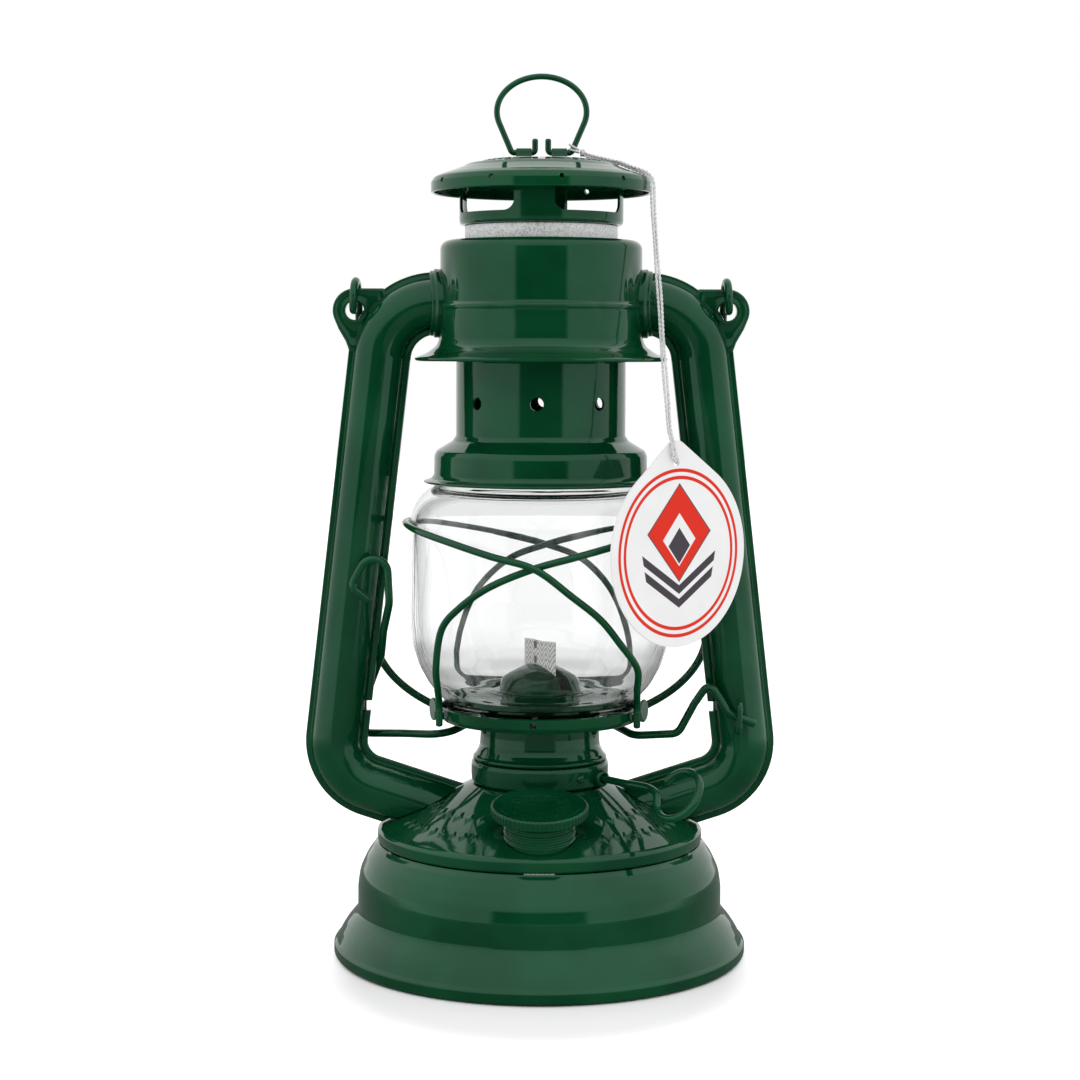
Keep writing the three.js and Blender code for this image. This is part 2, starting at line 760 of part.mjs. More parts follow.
function hoodSpring() {
  const radius = collarRadius + slideGap + springWireRadius + 0.7;
  const low = chimneyTop + seatGap + springWireRadius;
  const high = drumTop - sheet - seatGap - springWireRadius;
  const steps = Math.round(springTurns * 14);
  const stations = [];
  for (let i = 0; i <= steps; i += 1) {
    const angle = (2 * Math.PI * springTurns * i) / steps;
    const rise = (high - low) / (2 * Math.PI * springTurns);
    stations.push({
      point: new THREE.Vector3(radius * Math.cos(angle), radius * Math.sin(angle), low + rise * angle),
      tangent: new THREE.Vector3(-radius * Math.sin(angle), radius * Math.cos(angle), rise).normalize(),
    });
  }
  return wire(new Route(stations), springWireRadius);
}

const hoodLine = [
  [hoodRadius, hoodRimBottom], [hoodRadius, hoodRimTop - 1.6], [hoodRadius - 0.6, hoodRimTop],
  [hoodRadius - 5.2, hoodRimTop + 2], [cageRadius - 2.1, hoodTop - 2.4], [hoodRadius - 21, hoodTop - 0.6],
  [0, hoodTop],
];

function hood() {
  let dome = turned(sheetOutline(hoodLine));
  for (let i = 0; i < hoodHoles; i += 1) {
    const angle = THREE.MathUtils.degToRad(10) - Math.PI / 2 + (2 * Math.PI * i) / hoodHoles;
    const x = hoodHoleDistance * Math.cos(angle);
    const y = hoodHoleDistance * Math.sin(angle);
    dome = dome.subtract(rod(hoodHoleRadius, [x, y, hoodRimTop - 3], [x, y, hoodTop], 6));
  }
  return dome;
}

function hoodCage() {
  const top = cageBottom + cageHeight;
  const line = [
    [cageRadius - 1.1, cageBottom], [cageRadius - 0.3, cageBottom + 0.3], [cageRadius, cageBottom + 1.1],
    [cageRadius, top],
  ];
  let cage = turned(sheetOutline(line));
  const legAngle = 2 * Math.asin(cageLegWidth / 2 / cageRadius);
  const half = cageRadius * Math.sin(Math.PI / cageLegs - legAngle / 2);
  const low = cageBottom + cageRingHeight;
  const shape = polygon([
    [-half, top + 2], [-half, low + cageLegRound],
    ...bezier([-half, low + cageLegRound], [-half, low], [-half + cageLegRound, low], 4).slice(1),
    ...bezier([half - cageLegRound, low], [half, low], [half, low + cageLegRound], 4), [half, top + 2],
  ]);
  const window = plateXZ(shape, -cageRadius - 4, -cageRadius * 0.6);
  for (let i = 0; i < cageLegs; i += 1) {
    const turn = cageTurn + (2 * Math.PI * (i + 0.5)) / cageLegs;
    cage = cage.subtract(moved(window, aroundZ(turn)));
  }
  return cage;
}

function hoodLug(side) {
  const low = Math.min(side * lugInside, side * lugOutside);
  const high = Math.max(side * lugInside, side * lugOutside);
  const foot = hoodTop + seatGap;
  return rod(lugRadius, [low, 0, ringPivotHeight], [high, 0, ringPivotHeight], 16)
    .add(block([low, -lugRadius, foot], [high, lugRadius, ringPivotHeight]))
    .subtract(block([low - 1, -5, foot - 5], [high + 1, 5, foot]))
    .subtract(rod(ringWireRadius + seatGap, [low - 1, 0, ringPivotHeight], [high + 1, 0, ringPivotHeight], 12));
}

function pullRing() {
  const crownRise = ringRise - ringWireRadius - ringShoulderRise;
  const crown = [];
  const steps = 12;
  for (let i = 0; i <= steps; i += 1) {
    const angle = -ringShoulderTurn + ((Math.PI + 2 * ringShoulderTurn) * i) / steps;
    crown.push([ringHalfWidth * Math.cos(angle), 0,
      ringPivotHeight + ringShoulderRise + crownRise * Math.sin(angle), crownRise]);
  }
  const foot = [
    [ringEnd, 0, ringPivotHeight + ringEndRise], [ringEnd, 0, ringPivotHeight, ringLugBend],
    [ringLeg, 0, ringPivotHeight, ringLugBend],
  ];
  const other = foot.map(([x, ...rest]) => [-x, ...rest]).reverse();
  return wire(bentRoute([...foot, ...crown, ...other], ringLugBend), ringWireRadius, cordFacets);
}

// ---------- Air tubes ----------

const tubeStart = drumRadius + drumBeadSize + seatGap;
const tubeFootEnd = tubeFootHeight - (tubeFootCorner - tubeFootReach) * tubeFootSlope;
const tubeCorners = [
  [-tubeStart, 0, tubeArmHeight], [-tubeTopCorner, 0, tubeArmHeight, tubeTopBend],
  [-tubeFootCorner, 0, tubeFootHeight, tubeFootBend], [-tubeFootReach, 0, tubeFootEnd],
];

// Where the tube's middle is at a height on its long straight run.
function tubeX(height) {
  const slope = (tubeFootCorner - tubeTopCorner) / (tubeArmHeight - tubeFootHeight);
  return tubeTopCorner + (tubeArmHeight - height) * slope;
}

// Half of the tube's section: a flat seam flange each side of a half-round channel.
function tubeSection(front) {
  const arc = (width, depth, base, steps) => Array.from({ length: steps + 1 }, (_, i) => {
    const angle = (Math.PI * i) / steps;
    return [base + depth * Math.sin(angle), width * Math.cos(angle)];
  });
  const outline = [
    [0, seamHalfWidth], [sheet, seamHalfWidth], ...arc(tubeHalfWidth, tubeHalfDepth - sheet, sheet, 5),
    [sheet, -seamHalfWidth], [0, -seamHalfWidth],
    ...arc(tubeHalfWidth - sheet, tubeHalfDepth - sheet, 0, 4).reverse(),
  ];
  return polygon(outline.map(([depth, width]) => [front * depth, width]));
}

// The tube's outside with a gap all round, for what fits over it.
function tubeClearance(route, gap = seatGap) {
  const bodies = [
    circlePoints(1, smallFacets).map(([x, y]) => [x * (tubeHalfDepth + gap), y * (tubeHalfWidth + gap)]),
    [[-1, -1], [1, -1], [1, 1], [-1, 1]].map(([x, y]) => [x * (sheet + gap), y * (seamHalfWidth + gap)]),
  ];
  return bodies.map((outline) => swept(polygon(outline), route, route.stations.length - 1))
    .reduce((all, body) => all.add(body));
}

function tankKeepOut() {
  return turned([
    [0, bandBottom], [seamRadius + seatGap, bandBottom], [seamRadius + seatGap, seamTop + seatGap],
    [tankConeBottom[0] + 0.2, tankConeBottom[1] + seatGap * 1.2],
    [socketRadius, tankConeTop + seatGap * 1.2], [0, tankConeTop + seatGap * 1.2],
  ]);
}

const bendCentre = (() => {
  const route = flatRoute(tubeCorners.slice(0, 3), tubeTopBend, tubeBendFacets);
  const start = route.stations[1].point;
  return [start.x, start.z - tubeTopBend];
})();

function ear(front) {
  const foot = earHeight - earFootDrop;
  const arc = [];
  for (let degrees = 90; degrees >= -30; degrees -= 20) {
    const angle = THREE.MathUtils.degToRad(degrees);
    arc.push([-(earX + earRadius * Math.cos(angle)), earHeight + earRadius * Math.sin(angle)]);
  }
  const rim = tubeTopBend + seamHalfWidth;
  const meet = Math.asin((earHeight + earRadius - bendCentre[1]) / rim);
  const inside = meet + 0.12;
  const shape = polygon([
    [bendCentre[0] - (rim - 1) * Math.cos(inside), bendCentre[1] + (rim - 1) * Math.sin(inside)],
    [bendCentre[0] - rim * Math.cos(meet), earHeight + earRadius],
    ...arc, [-tubeX(foot - 1) - seamHalfWidth, foot], [-tubeX(foot + 3), foot + 3],
  ]);
  const low = front > 0 ? -sheet : 0;
  const core = rod(tubeTopBend + tubeHalfWidth - 0.2, [bendCentre[0], -5, bendCentre[1]],
    [bendCentre[0], 5, bendCentre[1]], 48);
  return plateXZ(shape, low, low + sheet).subtract(core);
}

// The foot's flange, which lies on the cone of the tank top, on one side of the seam.
function footFlange(front) {
  const outer = tankConeBottom[0] - 0.6;
  const inner = tubeFootReach - 4;
  const line = [[inner, coneHeight(inner, seatGap * 1.3)], [outer, coneHeight(outer, seatGap * 1.3)]];
  const side = block([-60, front > 0 ? -20 : 0, 20], [-20, front > 0 ? 0 : 20, 60]);
  const route = flatRoute(tubeCorners.slice(2), 1);
  const oval = (depth, width) => swept(polygon(circlePoints(1, 20).map(([x, y]) => [x * depth, y * width])), route, 1);
  return turned(sheetOutline(line, footFlangeThickness), 48).intersect(side)
    .intersect(oval(tubeHalfDepth + 2.2, footFlangeHalfWidth))
    .subtract(oval(tubeHalfDepth - sheet, tubeHalfWidth - sheet));
}

function airTubeHalf(front) {
  const route = flatRoute(tubeCorners, tubeTopBend, tubeBendFacets);
  const half = swept(tubeSection(front), route, route.stations.length - 1);
  const hole = rod(earHoleRadius + eyeletWall + seatGap, [-earX, -5, earHeight], [-earX, 5, earHeight], 16);
  const edge = -tubeX(latchHeight) + seamHalfWidth;
  const latch = block([edge - latchDepth, -5, latchHeight - latchWidth / 2], [edge + 3, 5, latchHeight + latchWidth / 2]);
  return half.add(ear(front)).add(footFlange(front)).subtract(hole).subtract(latch).subtract(tankKeepOut());
}

function earEyelet() {
  const lip = sheet + seatGap;
  const outer = earHoleRadius + eyeletWall;
  const spool = turned([
    [earHoleRadius, -lip - eyeletWall], [outer + eyeletLip, -lip - eyeletWall], [outer + eyeletLip, -lip],
    [outer, -lip], [outer, lip], [outer + eyeletLip, lip], [outer + eyeletLip, lip + eyeletWall],
    [earHoleRadius, lip + eyeletWall],
  ], 12);
  const matrix = new THREE.Matrix4().makeTranslation(-earX, 0, earHeight)
    .multiply(new THREE.Matrix4().makeRotationX(Math.PI / 2));
  return moved(spool, matrix);
}

function armCollar() {
  const inner = drumRadius + drumBeadSize + seatGap;
  const ring = turned([
    [inner, tubeArmHeight - armCollarReach - 1], [inner + armCollarThickness, tubeArmHeight - armCollarReach - 1],
    [inner + armCollarThickness, tubeArmHeight + armCollarReach + 1], [inner, tubeArmHeight + armCollarReach + 1],
  ], 60);
  const route = flatRoute(tubeCorners.slice(0, 2).map(([x, y, z]) => [x * 1.2 + 20, y, z]), 1);
  const outline = circlePoints(1, 20).map(([x, y]) => [x * armCollarHalfDepth, y * armCollarReach]);
  return ring.intersect(swept(polygon(outline), route, 1)).subtract(tubeClearance(route, slideGap));
}

// ---------- Bail ----------

const eyeHeight = earHeight + bailEyeRadius;

function bail() {
  const half = [];
  const eyeSteps = 10;
  const from = THREE.MathUtils.degToRad(bailEyeEnd);
  for (let i = 0; i < eyeSteps; i += 1) {
    const angle = from + ((bailLean - from) * i) / eyeSteps;
    const x = earX + bailEyeOffset * (1 - (2 * i) / eyeSteps);
    half.push([x, bailEyeRadius * Math.cos(angle), eyeHeight + bailEyeRadius * Math.sin(angle)]);
  }
  const start = [bailEyeRadius * Math.cos(bailLean), eyeHeight + bailEyeRadius * Math.sin(bailLean)];
  const hanging = (x, drop) => [x, start[0] + drop * Math.sin(bailLean), start[1] - drop * Math.cos(bailLean)];
  const legTop = earX - bailEyeOffset;
  half.push(hanging(legTop, 0), hanging((legTop + bailLegHalf) / 2, bailLegLength / 2));
  const steps = 14;
  const bottom = [];
  for (let i = 0; i <= steps; i += 1) {
    const angle = (Math.PI * i) / steps;
    bottom.push(hanging(bailLegHalf * Math.cos(angle), bailLegLength + bailDrop * Math.sin(angle)));
  }
  const other = half.map(([x, y, z]) => [-x, y, z]).reverse();
  const points = [...half, ...bottom, ...other].map((point) => new THREE.Vector3(...point));
  const stations = points.map((point, i) => {
    const before = points[Math.max(i - 1, 0)];
    const after = points[Math.min(i + 1, points.length - 1)];
    return { point, tangent: after.clone().sub(before).normalize() };
  });
  return wire(new Route(stations), bailWireRadius);
}

// ---------- Lift lever ----------

const leverFront = -9.2;
const leverCorners = [
  [leverPivotX + 4.5, leverFront, leverPivotHeight - 1.8],
  [leverPivotX - 3.1, leverFront, leverPivotHeight + 1.3, 4],
  [50.6, -7, 82.4, 2.2],
  [46.2, -5.2, 75.5, 4],
  [41.5, -3.5, 66.2, 4],
  [28.5, 2, 64.6, 8],
  [21.5, 14.5, 66.4, 8],
  [12, 21.6, 68.7, 8],
  [-12, 21.1, 67.9, 8],
  [-21.5, 14.5, 66.5, 8],
  [-28.5, 3.6, 64.4, 8],
  [-42, 8.4, 64, 8],
  [-55.2, 9.9, 63.8, 3.4],
  [-55.2, 9.9, 72, 4],
  [-51.6, 8, 79.5, 5],
  [-48, 1.6, 89, 6],
  [-46.9, -4.6, 97, 6],
  [-44.8, -9.4, 106, 6],
  [-45.4, -9.9, 117.3, 4],
  [-52.2, -9.9, 118.6, 4],
  [-57.4, -9.9, 110.6, 2.5],
  [-51.3, -9.9, 107.2],
];

function liftLever() {
  return wire(bentRoute(leverCorners, 4, 2), leverWireRadius);
}

function leverStaple() {
  const seat = -(tubeHalfDepth + seatGap);
  const front = leverFront - leverWireRadius - seatGap - stapleWireRadius;
  const low = leverPivotHeight - stapleHalfHeight;
  const high = leverPivotHeight + stapleHalfHeight;
  return wire(bentRoute([
    [leverPivotX, seat, low], [leverPivotX, front, low, 1.5], [leverPivotX, front, high, 1.5], [leverPivotX, seat, high],
  ], 1.5, 3), stapleWireRadius);
}

// ---------- String, knot and tag ----------

const stringRoute = [
  [13.6, -0.8, 239.1], [16, -1.8, 238.4], [18.5, -3, 237.7], [20.8, -4.2, 237.1], [23.2, -5.5, 236.5],
  [25.4, -6.8, 235.5], [27.5, -8, 234.6], [29.3, -9, 233.9], [30.9, -9.9, 233], [32.1, -10.6, 231.7],
  [32.6, -10.9, 229.9], [32.7, -11.1, 227.4], [32.9, -12.2, 221.4], [33.5, -14, 212], [34, -15.7, 204],
  [34.6, -17.8, 195.7], [35.1, -20.4, 185.3], [35.6, -22.5, 177.6], [36.5, -25.6, 166.2], [37.1, -27.5, 158.1],
  [37.7, -29.9, 155.3], [38.1, -30.5, 153.4], [38.4, -30.5, 151.4],
];

function tagString() {
  return curvedWire(stringRoute, stringRadius, stringSteps, cordFacets);
}

function stringKnot() {
  const outline = [];
  for (let i = 0; i <= 8; i += 1) {
    const angle = -Math.PI / 2 + (Math.PI * i) / 8;
    outline.push([i % 8 ? knotRadius * Math.cos(angle) : 0, knotRadius * Math.sin(angle)]);
  }
  return moved(turned(outline, 12), new THREE.Matrix4().makeTranslation(knotX, 0, ringPivotHeight));
}

function tag() {
  const bottomRadius = tagWidth / 2;
  const low = -tagHeight / 2 + bottomRadius;
  const high = tagHeight / 2 - tagTopRadius;
  const lean = Math.asin((bottomRadius - tagTopRadius) / (high - low));
  const points = [];
  for (let i = 0; i <= 20; i += 1) {
    const angle = lean - (Math.PI + 2 * lean) * (i / 20);
    points.push([bottomRadius * Math.cos(angle), low + bottomRadius * Math.sin(angle)]);
  }
  for (let i = 0; i <= 6; i += 1) {
    const angle = Math.PI - lean - (Math.PI - 2 * lean) * (i / 6);
    points.push([tagTopRadius * Math.cos(angle), high + tagTopRadius * Math.sin(angle)]);
  }
  const hole = rod(tagHoleRadius, [0, -5, tagHeight / 2 - tagHoleDrop], [0, 5, tagHeight / 2 - tagHoleDrop], 12);
  const card = plateXZ(polygon(points), -tagThickness / 2, tagThickness / 2).subtract(hole);
  const matrix = new THREE.Matrix4().makeTranslation(...tagCentre)
    .multiply(new THREE.Matrix4().makeRotationZ(tagTurn))
    .multiply(new THREE.Matrix4().makeRotationY(tagTilt));
  return moved(card, matrix);
}

// ---------- Assembly ----------

add('tank_base', tankBase(), 'enamel');
add('tank_bottom', tankBottom(), 'enamel');
add('tank_top', tankTop(), 'enamel');
add('filler_neck', fillerNeck(), 'enamel');
add('filler_seal', fillerSeal(), 'cork');
add('filler_cap', fillerCap(), 'enamel');
add('burner_socket', burnerSocket(), 'enamel');
add('burner_neck', burnerNeck(), 'enamel');
add('burner_deck', burnerDeck(), 'enamel');
add('burner_dome', burnerDome(), 'enamel');
add('burner_rivet', burnerRivet(), 'enamel');
add('spindle_bush', spindleBush(), 'enamel');
add('wick_tube', wickTube(), 'brass');
add('wick', wick(), 'cotton');
add('wick_wheel_1', wickWheel(-1), 'steel');
add('wick_wheel_2', wickWheel(1), 'steel');
add('wick_knob', wickKnob(), 'enamel');
add('globe_plate', globePlate(), 'enamel');
add('glass_globe', glassGlobe(), 'glass');
add('wire_guard', wireGuard(), 'enamel');
add('left_guard_clip', guardClip(-1), 'enamel');
add('right_guard_clip', guardClip(1), 'enamel');
add('chimney', chimney(), 'enamel');
add('hood_collar', hoodCollar(), 'zinc');
add('hood_spring', hoodSpring(), 'steel');
add('drum', drum(), 'enamel');
add('hood_cage', hoodCage(), 'enamel');
add('hood', hood(), 'enamel');
add('left_lug', hoodLug(-1), 'enamel');
add('right_lug', hoodLug(1), 'enamel');
add('pull_ring', pullRing(), 'enamel');
for (const [side, place] of [['left', (solid) => solid], ['right', mirrored]]) {
  add(`${side}_tube_front`, place(airTubeHalf(1)), 'enamel');
  add(`${side}_tube_back`, place(airTubeHalf(-1)), 'enamel');
  add(`${side}_ear_eyelet`, place(earEyelet()), 'enamel');
  add(`${side}_arm_collar`, place(armCollar()), 'enamel');
}
add('bail', bail(), 'enamel');
add('lift_lever', liftLever(), 'enamel');
add('lever_staple', leverStaple(), 'enamel');
add('tag_string', tagString(), 'string');
add('string_knot', stringKnot(), 'string');
add('tag', tag(), 'card');

export default group;
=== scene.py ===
import math

import bmesh
import bpy
import numpy as np
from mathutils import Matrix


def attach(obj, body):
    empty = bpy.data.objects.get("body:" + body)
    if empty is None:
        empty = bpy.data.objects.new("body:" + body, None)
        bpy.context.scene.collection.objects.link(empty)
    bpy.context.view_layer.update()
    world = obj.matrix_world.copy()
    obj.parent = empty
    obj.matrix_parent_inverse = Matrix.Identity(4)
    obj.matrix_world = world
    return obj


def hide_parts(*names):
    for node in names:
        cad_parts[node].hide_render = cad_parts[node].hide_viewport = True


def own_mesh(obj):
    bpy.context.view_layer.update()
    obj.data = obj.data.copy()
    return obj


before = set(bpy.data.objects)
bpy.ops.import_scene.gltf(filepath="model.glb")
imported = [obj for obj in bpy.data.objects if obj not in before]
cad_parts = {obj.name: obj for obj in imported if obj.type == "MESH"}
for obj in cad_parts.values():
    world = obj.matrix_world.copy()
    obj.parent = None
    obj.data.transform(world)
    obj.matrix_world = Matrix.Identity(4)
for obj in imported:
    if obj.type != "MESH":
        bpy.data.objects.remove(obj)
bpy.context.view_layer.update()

bl_info = {
    "name": "Side-tube oil lantern",
    "version": (1, 0, 0),
    "blender": (4, 5, 0),
    "location": "3D View > Sidebar > Lantern",
    "description": "Builds the surfaces, materials, light and camera of an oil lantern round its packed frame",
    "category": "Object",
}

MM = 0.001
NO_BEVEL = 1e-4
SIDES = ("left", "right")
TOP_STEPS = 520
DRUM_STEPS = 240

# ---------- Sizes in millimetres and angles; all but those of fine detail repeat the frame's own ----------

SHEET = 0.9
SEAT = 0.3
WALL_RADIUS = 54.7
RIM_RADIUS = 48.8
CONE_LOW = (47.5, 38.3)
CONE_TOP = (20.65, 51.0)
FILLER_OUT = 36.7
FILLER_HEIGHT = 41.6
FILLER_TILT = math.radians(9.5)
FILLER_HOLE = 10.5
NECK_RADIUS = 9.9
NECK_WALL = 1.1
CAP_BORE = 10.85
CAP_PETALS = 12
SOCKET_RADIUS = 20.65
DECK_HEIGHT = 78.3
DECK_HOLES = 12
DOME_RADIUS = 12.2
DOME_RISE = 7.6
WICK_AZIMUTH = math.radians(40)
SPINDLE_HEIGHT = 54.3
SPINDLE_SIDE = 6.0
KNOB_REACH = 54.3
KNOB_RADIUS = 7.6
KNOB_TILT = math.radians(36)
RIVET_HEIGHT = 54.8
RIVET_AZIMUTH = math.radians(35.5)
KNOB_WIRE = 2.2
PLATE_RADIUS = 30.4
GLASS_FOOT = 27.7
GLASS_RADIUS = 39.2
GLASS_SHOULDER = 128.6
GUARD_WIRE = 2.1
CLIP_SHEET = 0.7
GUARD_FOOT_X = 29.2
GUARD_FOOT_Y = -math.sqrt((PLATE_RADIUS + SHEET / 2 + CLIP_SHEET + SEAT + GUARD_WIRE / 2) ** 2 - GUARD_FOOT_X**2)
GUARD_TURN = math.radians(-2.2)
CHIMNEY_HOLES = 8
CHIMNEY_HOLE_HEIGHT = 165.4
CHIMNEY_HOLE_RADIUS = 1.95
CHIMNEY_TURN = math.radians(-2.6)
SPRING_RADIUS = 24.8
SPRING_ENDS = (193.3, 211.6)
DRUM_RADIUS = 30.2
ARM_HEIGHT = 195.0
COLLAR_RADIUS = 22.8
HOOD_VENTS = 10
VENT_TURN = math.radians(10)
VENT_RING = 30.6
VENT_RADIUS = 0.75
HOOD_BARS = 44
RING_PIVOT = 239.9
RING_CENTRE = RING_PIVOT + 12.1
RING_HALF_WIDTH = 13.35
RING_HALF_HEIGHT = 10.5
TUBE_HALF_WIDTH = 7.4
TUBE_HALF_DEPTH = 7.5
SEAM_HALF_WIDTH = 9.2
TUBE_CORNERS = [(-31.3, ARM_HEIGHT), (-46.6, ARM_HEIGHT, 17.0), (-62.5, 53.2, 14.5), (-24.8, 40.95)]
EAR_X = 55.7
EAR_HEIGHT = 192.8
EAR_HOLE = 3.6
BAIL_WIRE = 2.4
BAIL_EYE = 4.4
BAIL_LEAN = math.radians(8)
BAIL_LEG = 105
BAIL_HALF_WIDTH = 51.5
BAIL_ROUND = 30.5
STAPLE_WIRE = 1.8
LEVER_PIVOT = (59.3, 72.0)
LEVER_FRONT = -9.2
LEVER_CORNERS = [
    (63.8, -9.2, 70.2), (56.2, -9.2, 73.3, 4), (50.6, -7, 82.4, 2.2), (46.2, -5.2, 75.5, 4),
    (41.5, -3.5, 66.2, 4), (28.5, 2, 64.6, 8), (21.5, 14.5, 66.4, 8), (12, 21.6, 68.7, 8),
    (-12, 21.1, 67.9, 8), (-21.5, 14.5, 66.5, 8), (-28.5, 3.6, 64.4, 8), (-42, 8.4, 64, 8),
    (-55.2, 9.9, 63.8, 3.4), (-55.2, 9.9, 72, 4), (-51.6, 8, 79.5, 5), (-48, 1.6, 89, 6),
    (-46.9, -4.6, 97, 6), (-44.8, -9.4, 106, 6), (-45.4, -9.9, 118.3, 4.5), (-51.6, -9.9, 119.6, 5),
    (-56.2, -9.9, 110.9, 2.5), (-50.9, -9.9, 106.9),
]
STRING_START = (12.5, -0.5, 239.6)
STRING_ROUTE = [
    (13.6, -0.8, 239.1), (16, -1.8, 238.4), (18.5, -3, 237.7), (20.8, -4.2, 237.1), (23.2, -5.5, 236.5),
    (25.4, -6.8, 235.5), (27.5, -8, 234.6), (29.3, -9, 233.9), (30.9, -9.9, 233), (32.1, -10.6, 231.7),
    (32.6, -10.9, 229.9), (32.7, -11.1, 227.4), (32.9, -12.2, 221.4), (33.5, -14, 212), (34, -15.7, 204),
    (34.6, -17.8, 195.7), (35.1, -20.4, 185.3), (35.6, -22.5, 177.6), (36.5, -25.6, 166.2),
    (37.1, -27.5, 158.1), (37.7, -29.9, 155.3), (38.1, -30.5, 153.4), (38.4, -30.5, 151.4),
]
STRING_END = [(38.75, -29.6, 150.3), (39.1, -28.3, 149.3), (38.75, -27.3, 148.9)]
TAG_CENTRE = (39.9, -26.8, 125.4)
TAG_TURN = math.radians(42)
TAG_TILT = math.radians(-3)
TAG_WIDTH = 54.6
TAG_HEIGHT = 60.0
TAG_TOP_RADIUS = 5.0
TAG_HOLE_DROP = 6.4

# ---------- Where the camera stands, in metres and radians, and its lens in millimetres ----------

CAMERA_PLACE = (-0.00030, -0.67611, 0.18078)
CAMERA_DOWN = 0.0482
CAMERA_ROLL = -0.0031
CAMERA_LENS = 75.15567
CAMERA_SHIFT = -0.074074


# ---------- Lines and grids, worked out with whole arrays ----------


def unit(vectors):
    """Each vector divided by its length."""
    vectors = np.asarray(vectors, float)
    return vectors / np.maximum(np.linalg.norm(vectors, axis=-1, keepdims=True), 1e-12)


def smooth(low, high, x):
    """0 below low, 1 above high, and 3t^2 - 2t^3 of the share t in between."""
    t = np.clip((np.asarray(x, float) - low) / (high - low), 0, 1)
    return t * t * (3 - 2 * t)


def rounded(corners, radius=1.0, steps=6):
    """A line through flat or spatial corners, given as (point..., own radius), in which each inner corner
    becomes the circle arc of its radius that touches both sides."""
    size = len(corners[0])
    points = [np.array(corner[:size], float) for corner in corners]
    line = [points[0]]
    last = len(points) - 1
    for i in range(1, last):
        bend = corners[i][size] if len(corners[i]) > size else radius
        into, leave = unit(points[i] - points[i - 1]), unit(points[i + 1] - points[i])
        turn = math.acos(float(np.clip(into @ leave, -1, 1)))
        if turn < 0.01 or bend <= 0:
            line.append(points[i])
            continue
        before = np.linalg.norm(points[i] - points[i - 1]) * (0.998 if i == 1 else 0.49)
        after = np.linalg.norm(points[i + 1] - points[i]) * (0.998 if i == last - 1 else 0.49)
        cut = min(bend * math.tan(turn / 2), before, after)
        inward = unit(leave - into)
        real = cut / math.tan(turn / 2)
        centre = points[i] + inward * (real / math.cos(turn / 2))
        angle = np.linspace(-turn / 2, turn / 2, steps + 1)[:, None]
        along = unit(into + leave)
        line.extend(centre - inward * real * np.cos(angle) + along * real * np.sin(angle))
    line.append(points[last])
    return np.array(line)


def spline(points, steps):
    """Centripetal Catmull-Rom curve: between two points a cubic whose end slopes come from the square roots
    of the distances to their neighbours."""
    p = np.asarray(points, float)
    p = np.vstack([2 * p[0] - p[1], p, 2 * p[-1] - p[-2]])
    span = np.sqrt(np.linalg.norm(np.diff(p, axis=0), axis=1))[:, None]
    a, b, c, d = p[:-3], p[1:-2], p[2:-1], p[3:]
    d0, d1, d2 = span[:-2], span[1:-1], span[2:]
    first = ((b - a) / d0 - (c - a) / (d0 + d1) + (c - b) / d1) * d1
    second = ((c - b) / d1 - (d - b) / (d1 + d2) + (d - c) / d2) * d1
    t = np.linspace(0, 1, steps, endpoint=False)[None, :, None]
    b, c, first, second = b[:, None], c[:, None], first[:, None], second[:, None]
    curve = (b + first * t + (-3 * b + 3 * c - 2 * first - second) * t**2
             + (2 * b - 2 * c + first + second) * t**3)
    return np.vstack([curve.reshape(-1, p.shape[1]), p[-2]])


def resampled(line, step):
    """The same line with points at equal distances of about one step."""
    line = np.asarray(line, float)
    length = np.concatenate([[0], np.cumsum(np.linalg.norm(np.diff(line, axis=0), axis=1))])
    count = max(int(round(length[-1] / step)), 2)
    at = np.linspace(0, length[-1], count + 1)
    return np.stack([np.interp(at, length, line[:, k]) for k in range(line.shape[1])], -1)


def offset(line, distance):
    """A flat line moved square to itself, to the left of its direction."""
    step = unit(np.diff(line, axis=0))
    into, leave = np.vstack([step[:1], step]), np.vstack([step, step[-1:]])
    mitre = unit(into + leave)
    reach = distance / np.maximum(np.sum(mitre * into, axis=1, keepdims=True), 0.35)
    return line + np.stack([-mitre[:, 1], mitre[:, 0]], -1) * reach


def apart(points, line):
    """The distance from each point to the nearest segment of a line."""
    start, step = line[:-1][None], np.diff(line, axis=0)[None]
    away = points[:, None] - start
    share = np.clip((away * step).sum(-1) / np.maximum((step**2).sum(-1), 1e-12), 0, 1)[..., None]
    return np.linalg.norm(away - share * step, axis=-1).min(1)


def sheet_loop(line, thickness=SHEET):
    """The closed outline of a sheet: a line, the line moved left by the thickness without the points that would
    fold over in a tight corner, and rounded cut edges."""
    line = np.asarray(line, float)
    inner = offset(line, thickness)
    on_axis = line[:, 0] <= 1e-9
    inner[on_axis, 0] = 0
    inner = inner[apart(inner, line) > thickness * 0.97]
    start = (line[0] + inner[0]) / 2 - unit(line[1] - line[0]) * thickness * 0.28
    end = (line[-1] + inner[-1]) / 2 + unit(line[-1] - line[-2]) * thickness * 0.28
    if on_axis[-1]:
        return np.vstack([inner[::-1], start[None], line])
    if on_axis[0]:
        return np.vstack([line, end[None], inner[::-1]])
    return np.vstack([line, end[None], inner[::-1], start[None]])


def lathe(loop, sides=160):
    """Each profile point (r, z) turned about Z: (r sin a, -r cos a, z)."""
    angle = np.linspace(0, 2 * np.pi, sides, endpoint=False)[None, :]
    r, z = loop[:, :1], loop[:, 1:2]
    return np.stack([r * np.sin(angle), -r * np.cos(angle), z + 0 * angle], -1)


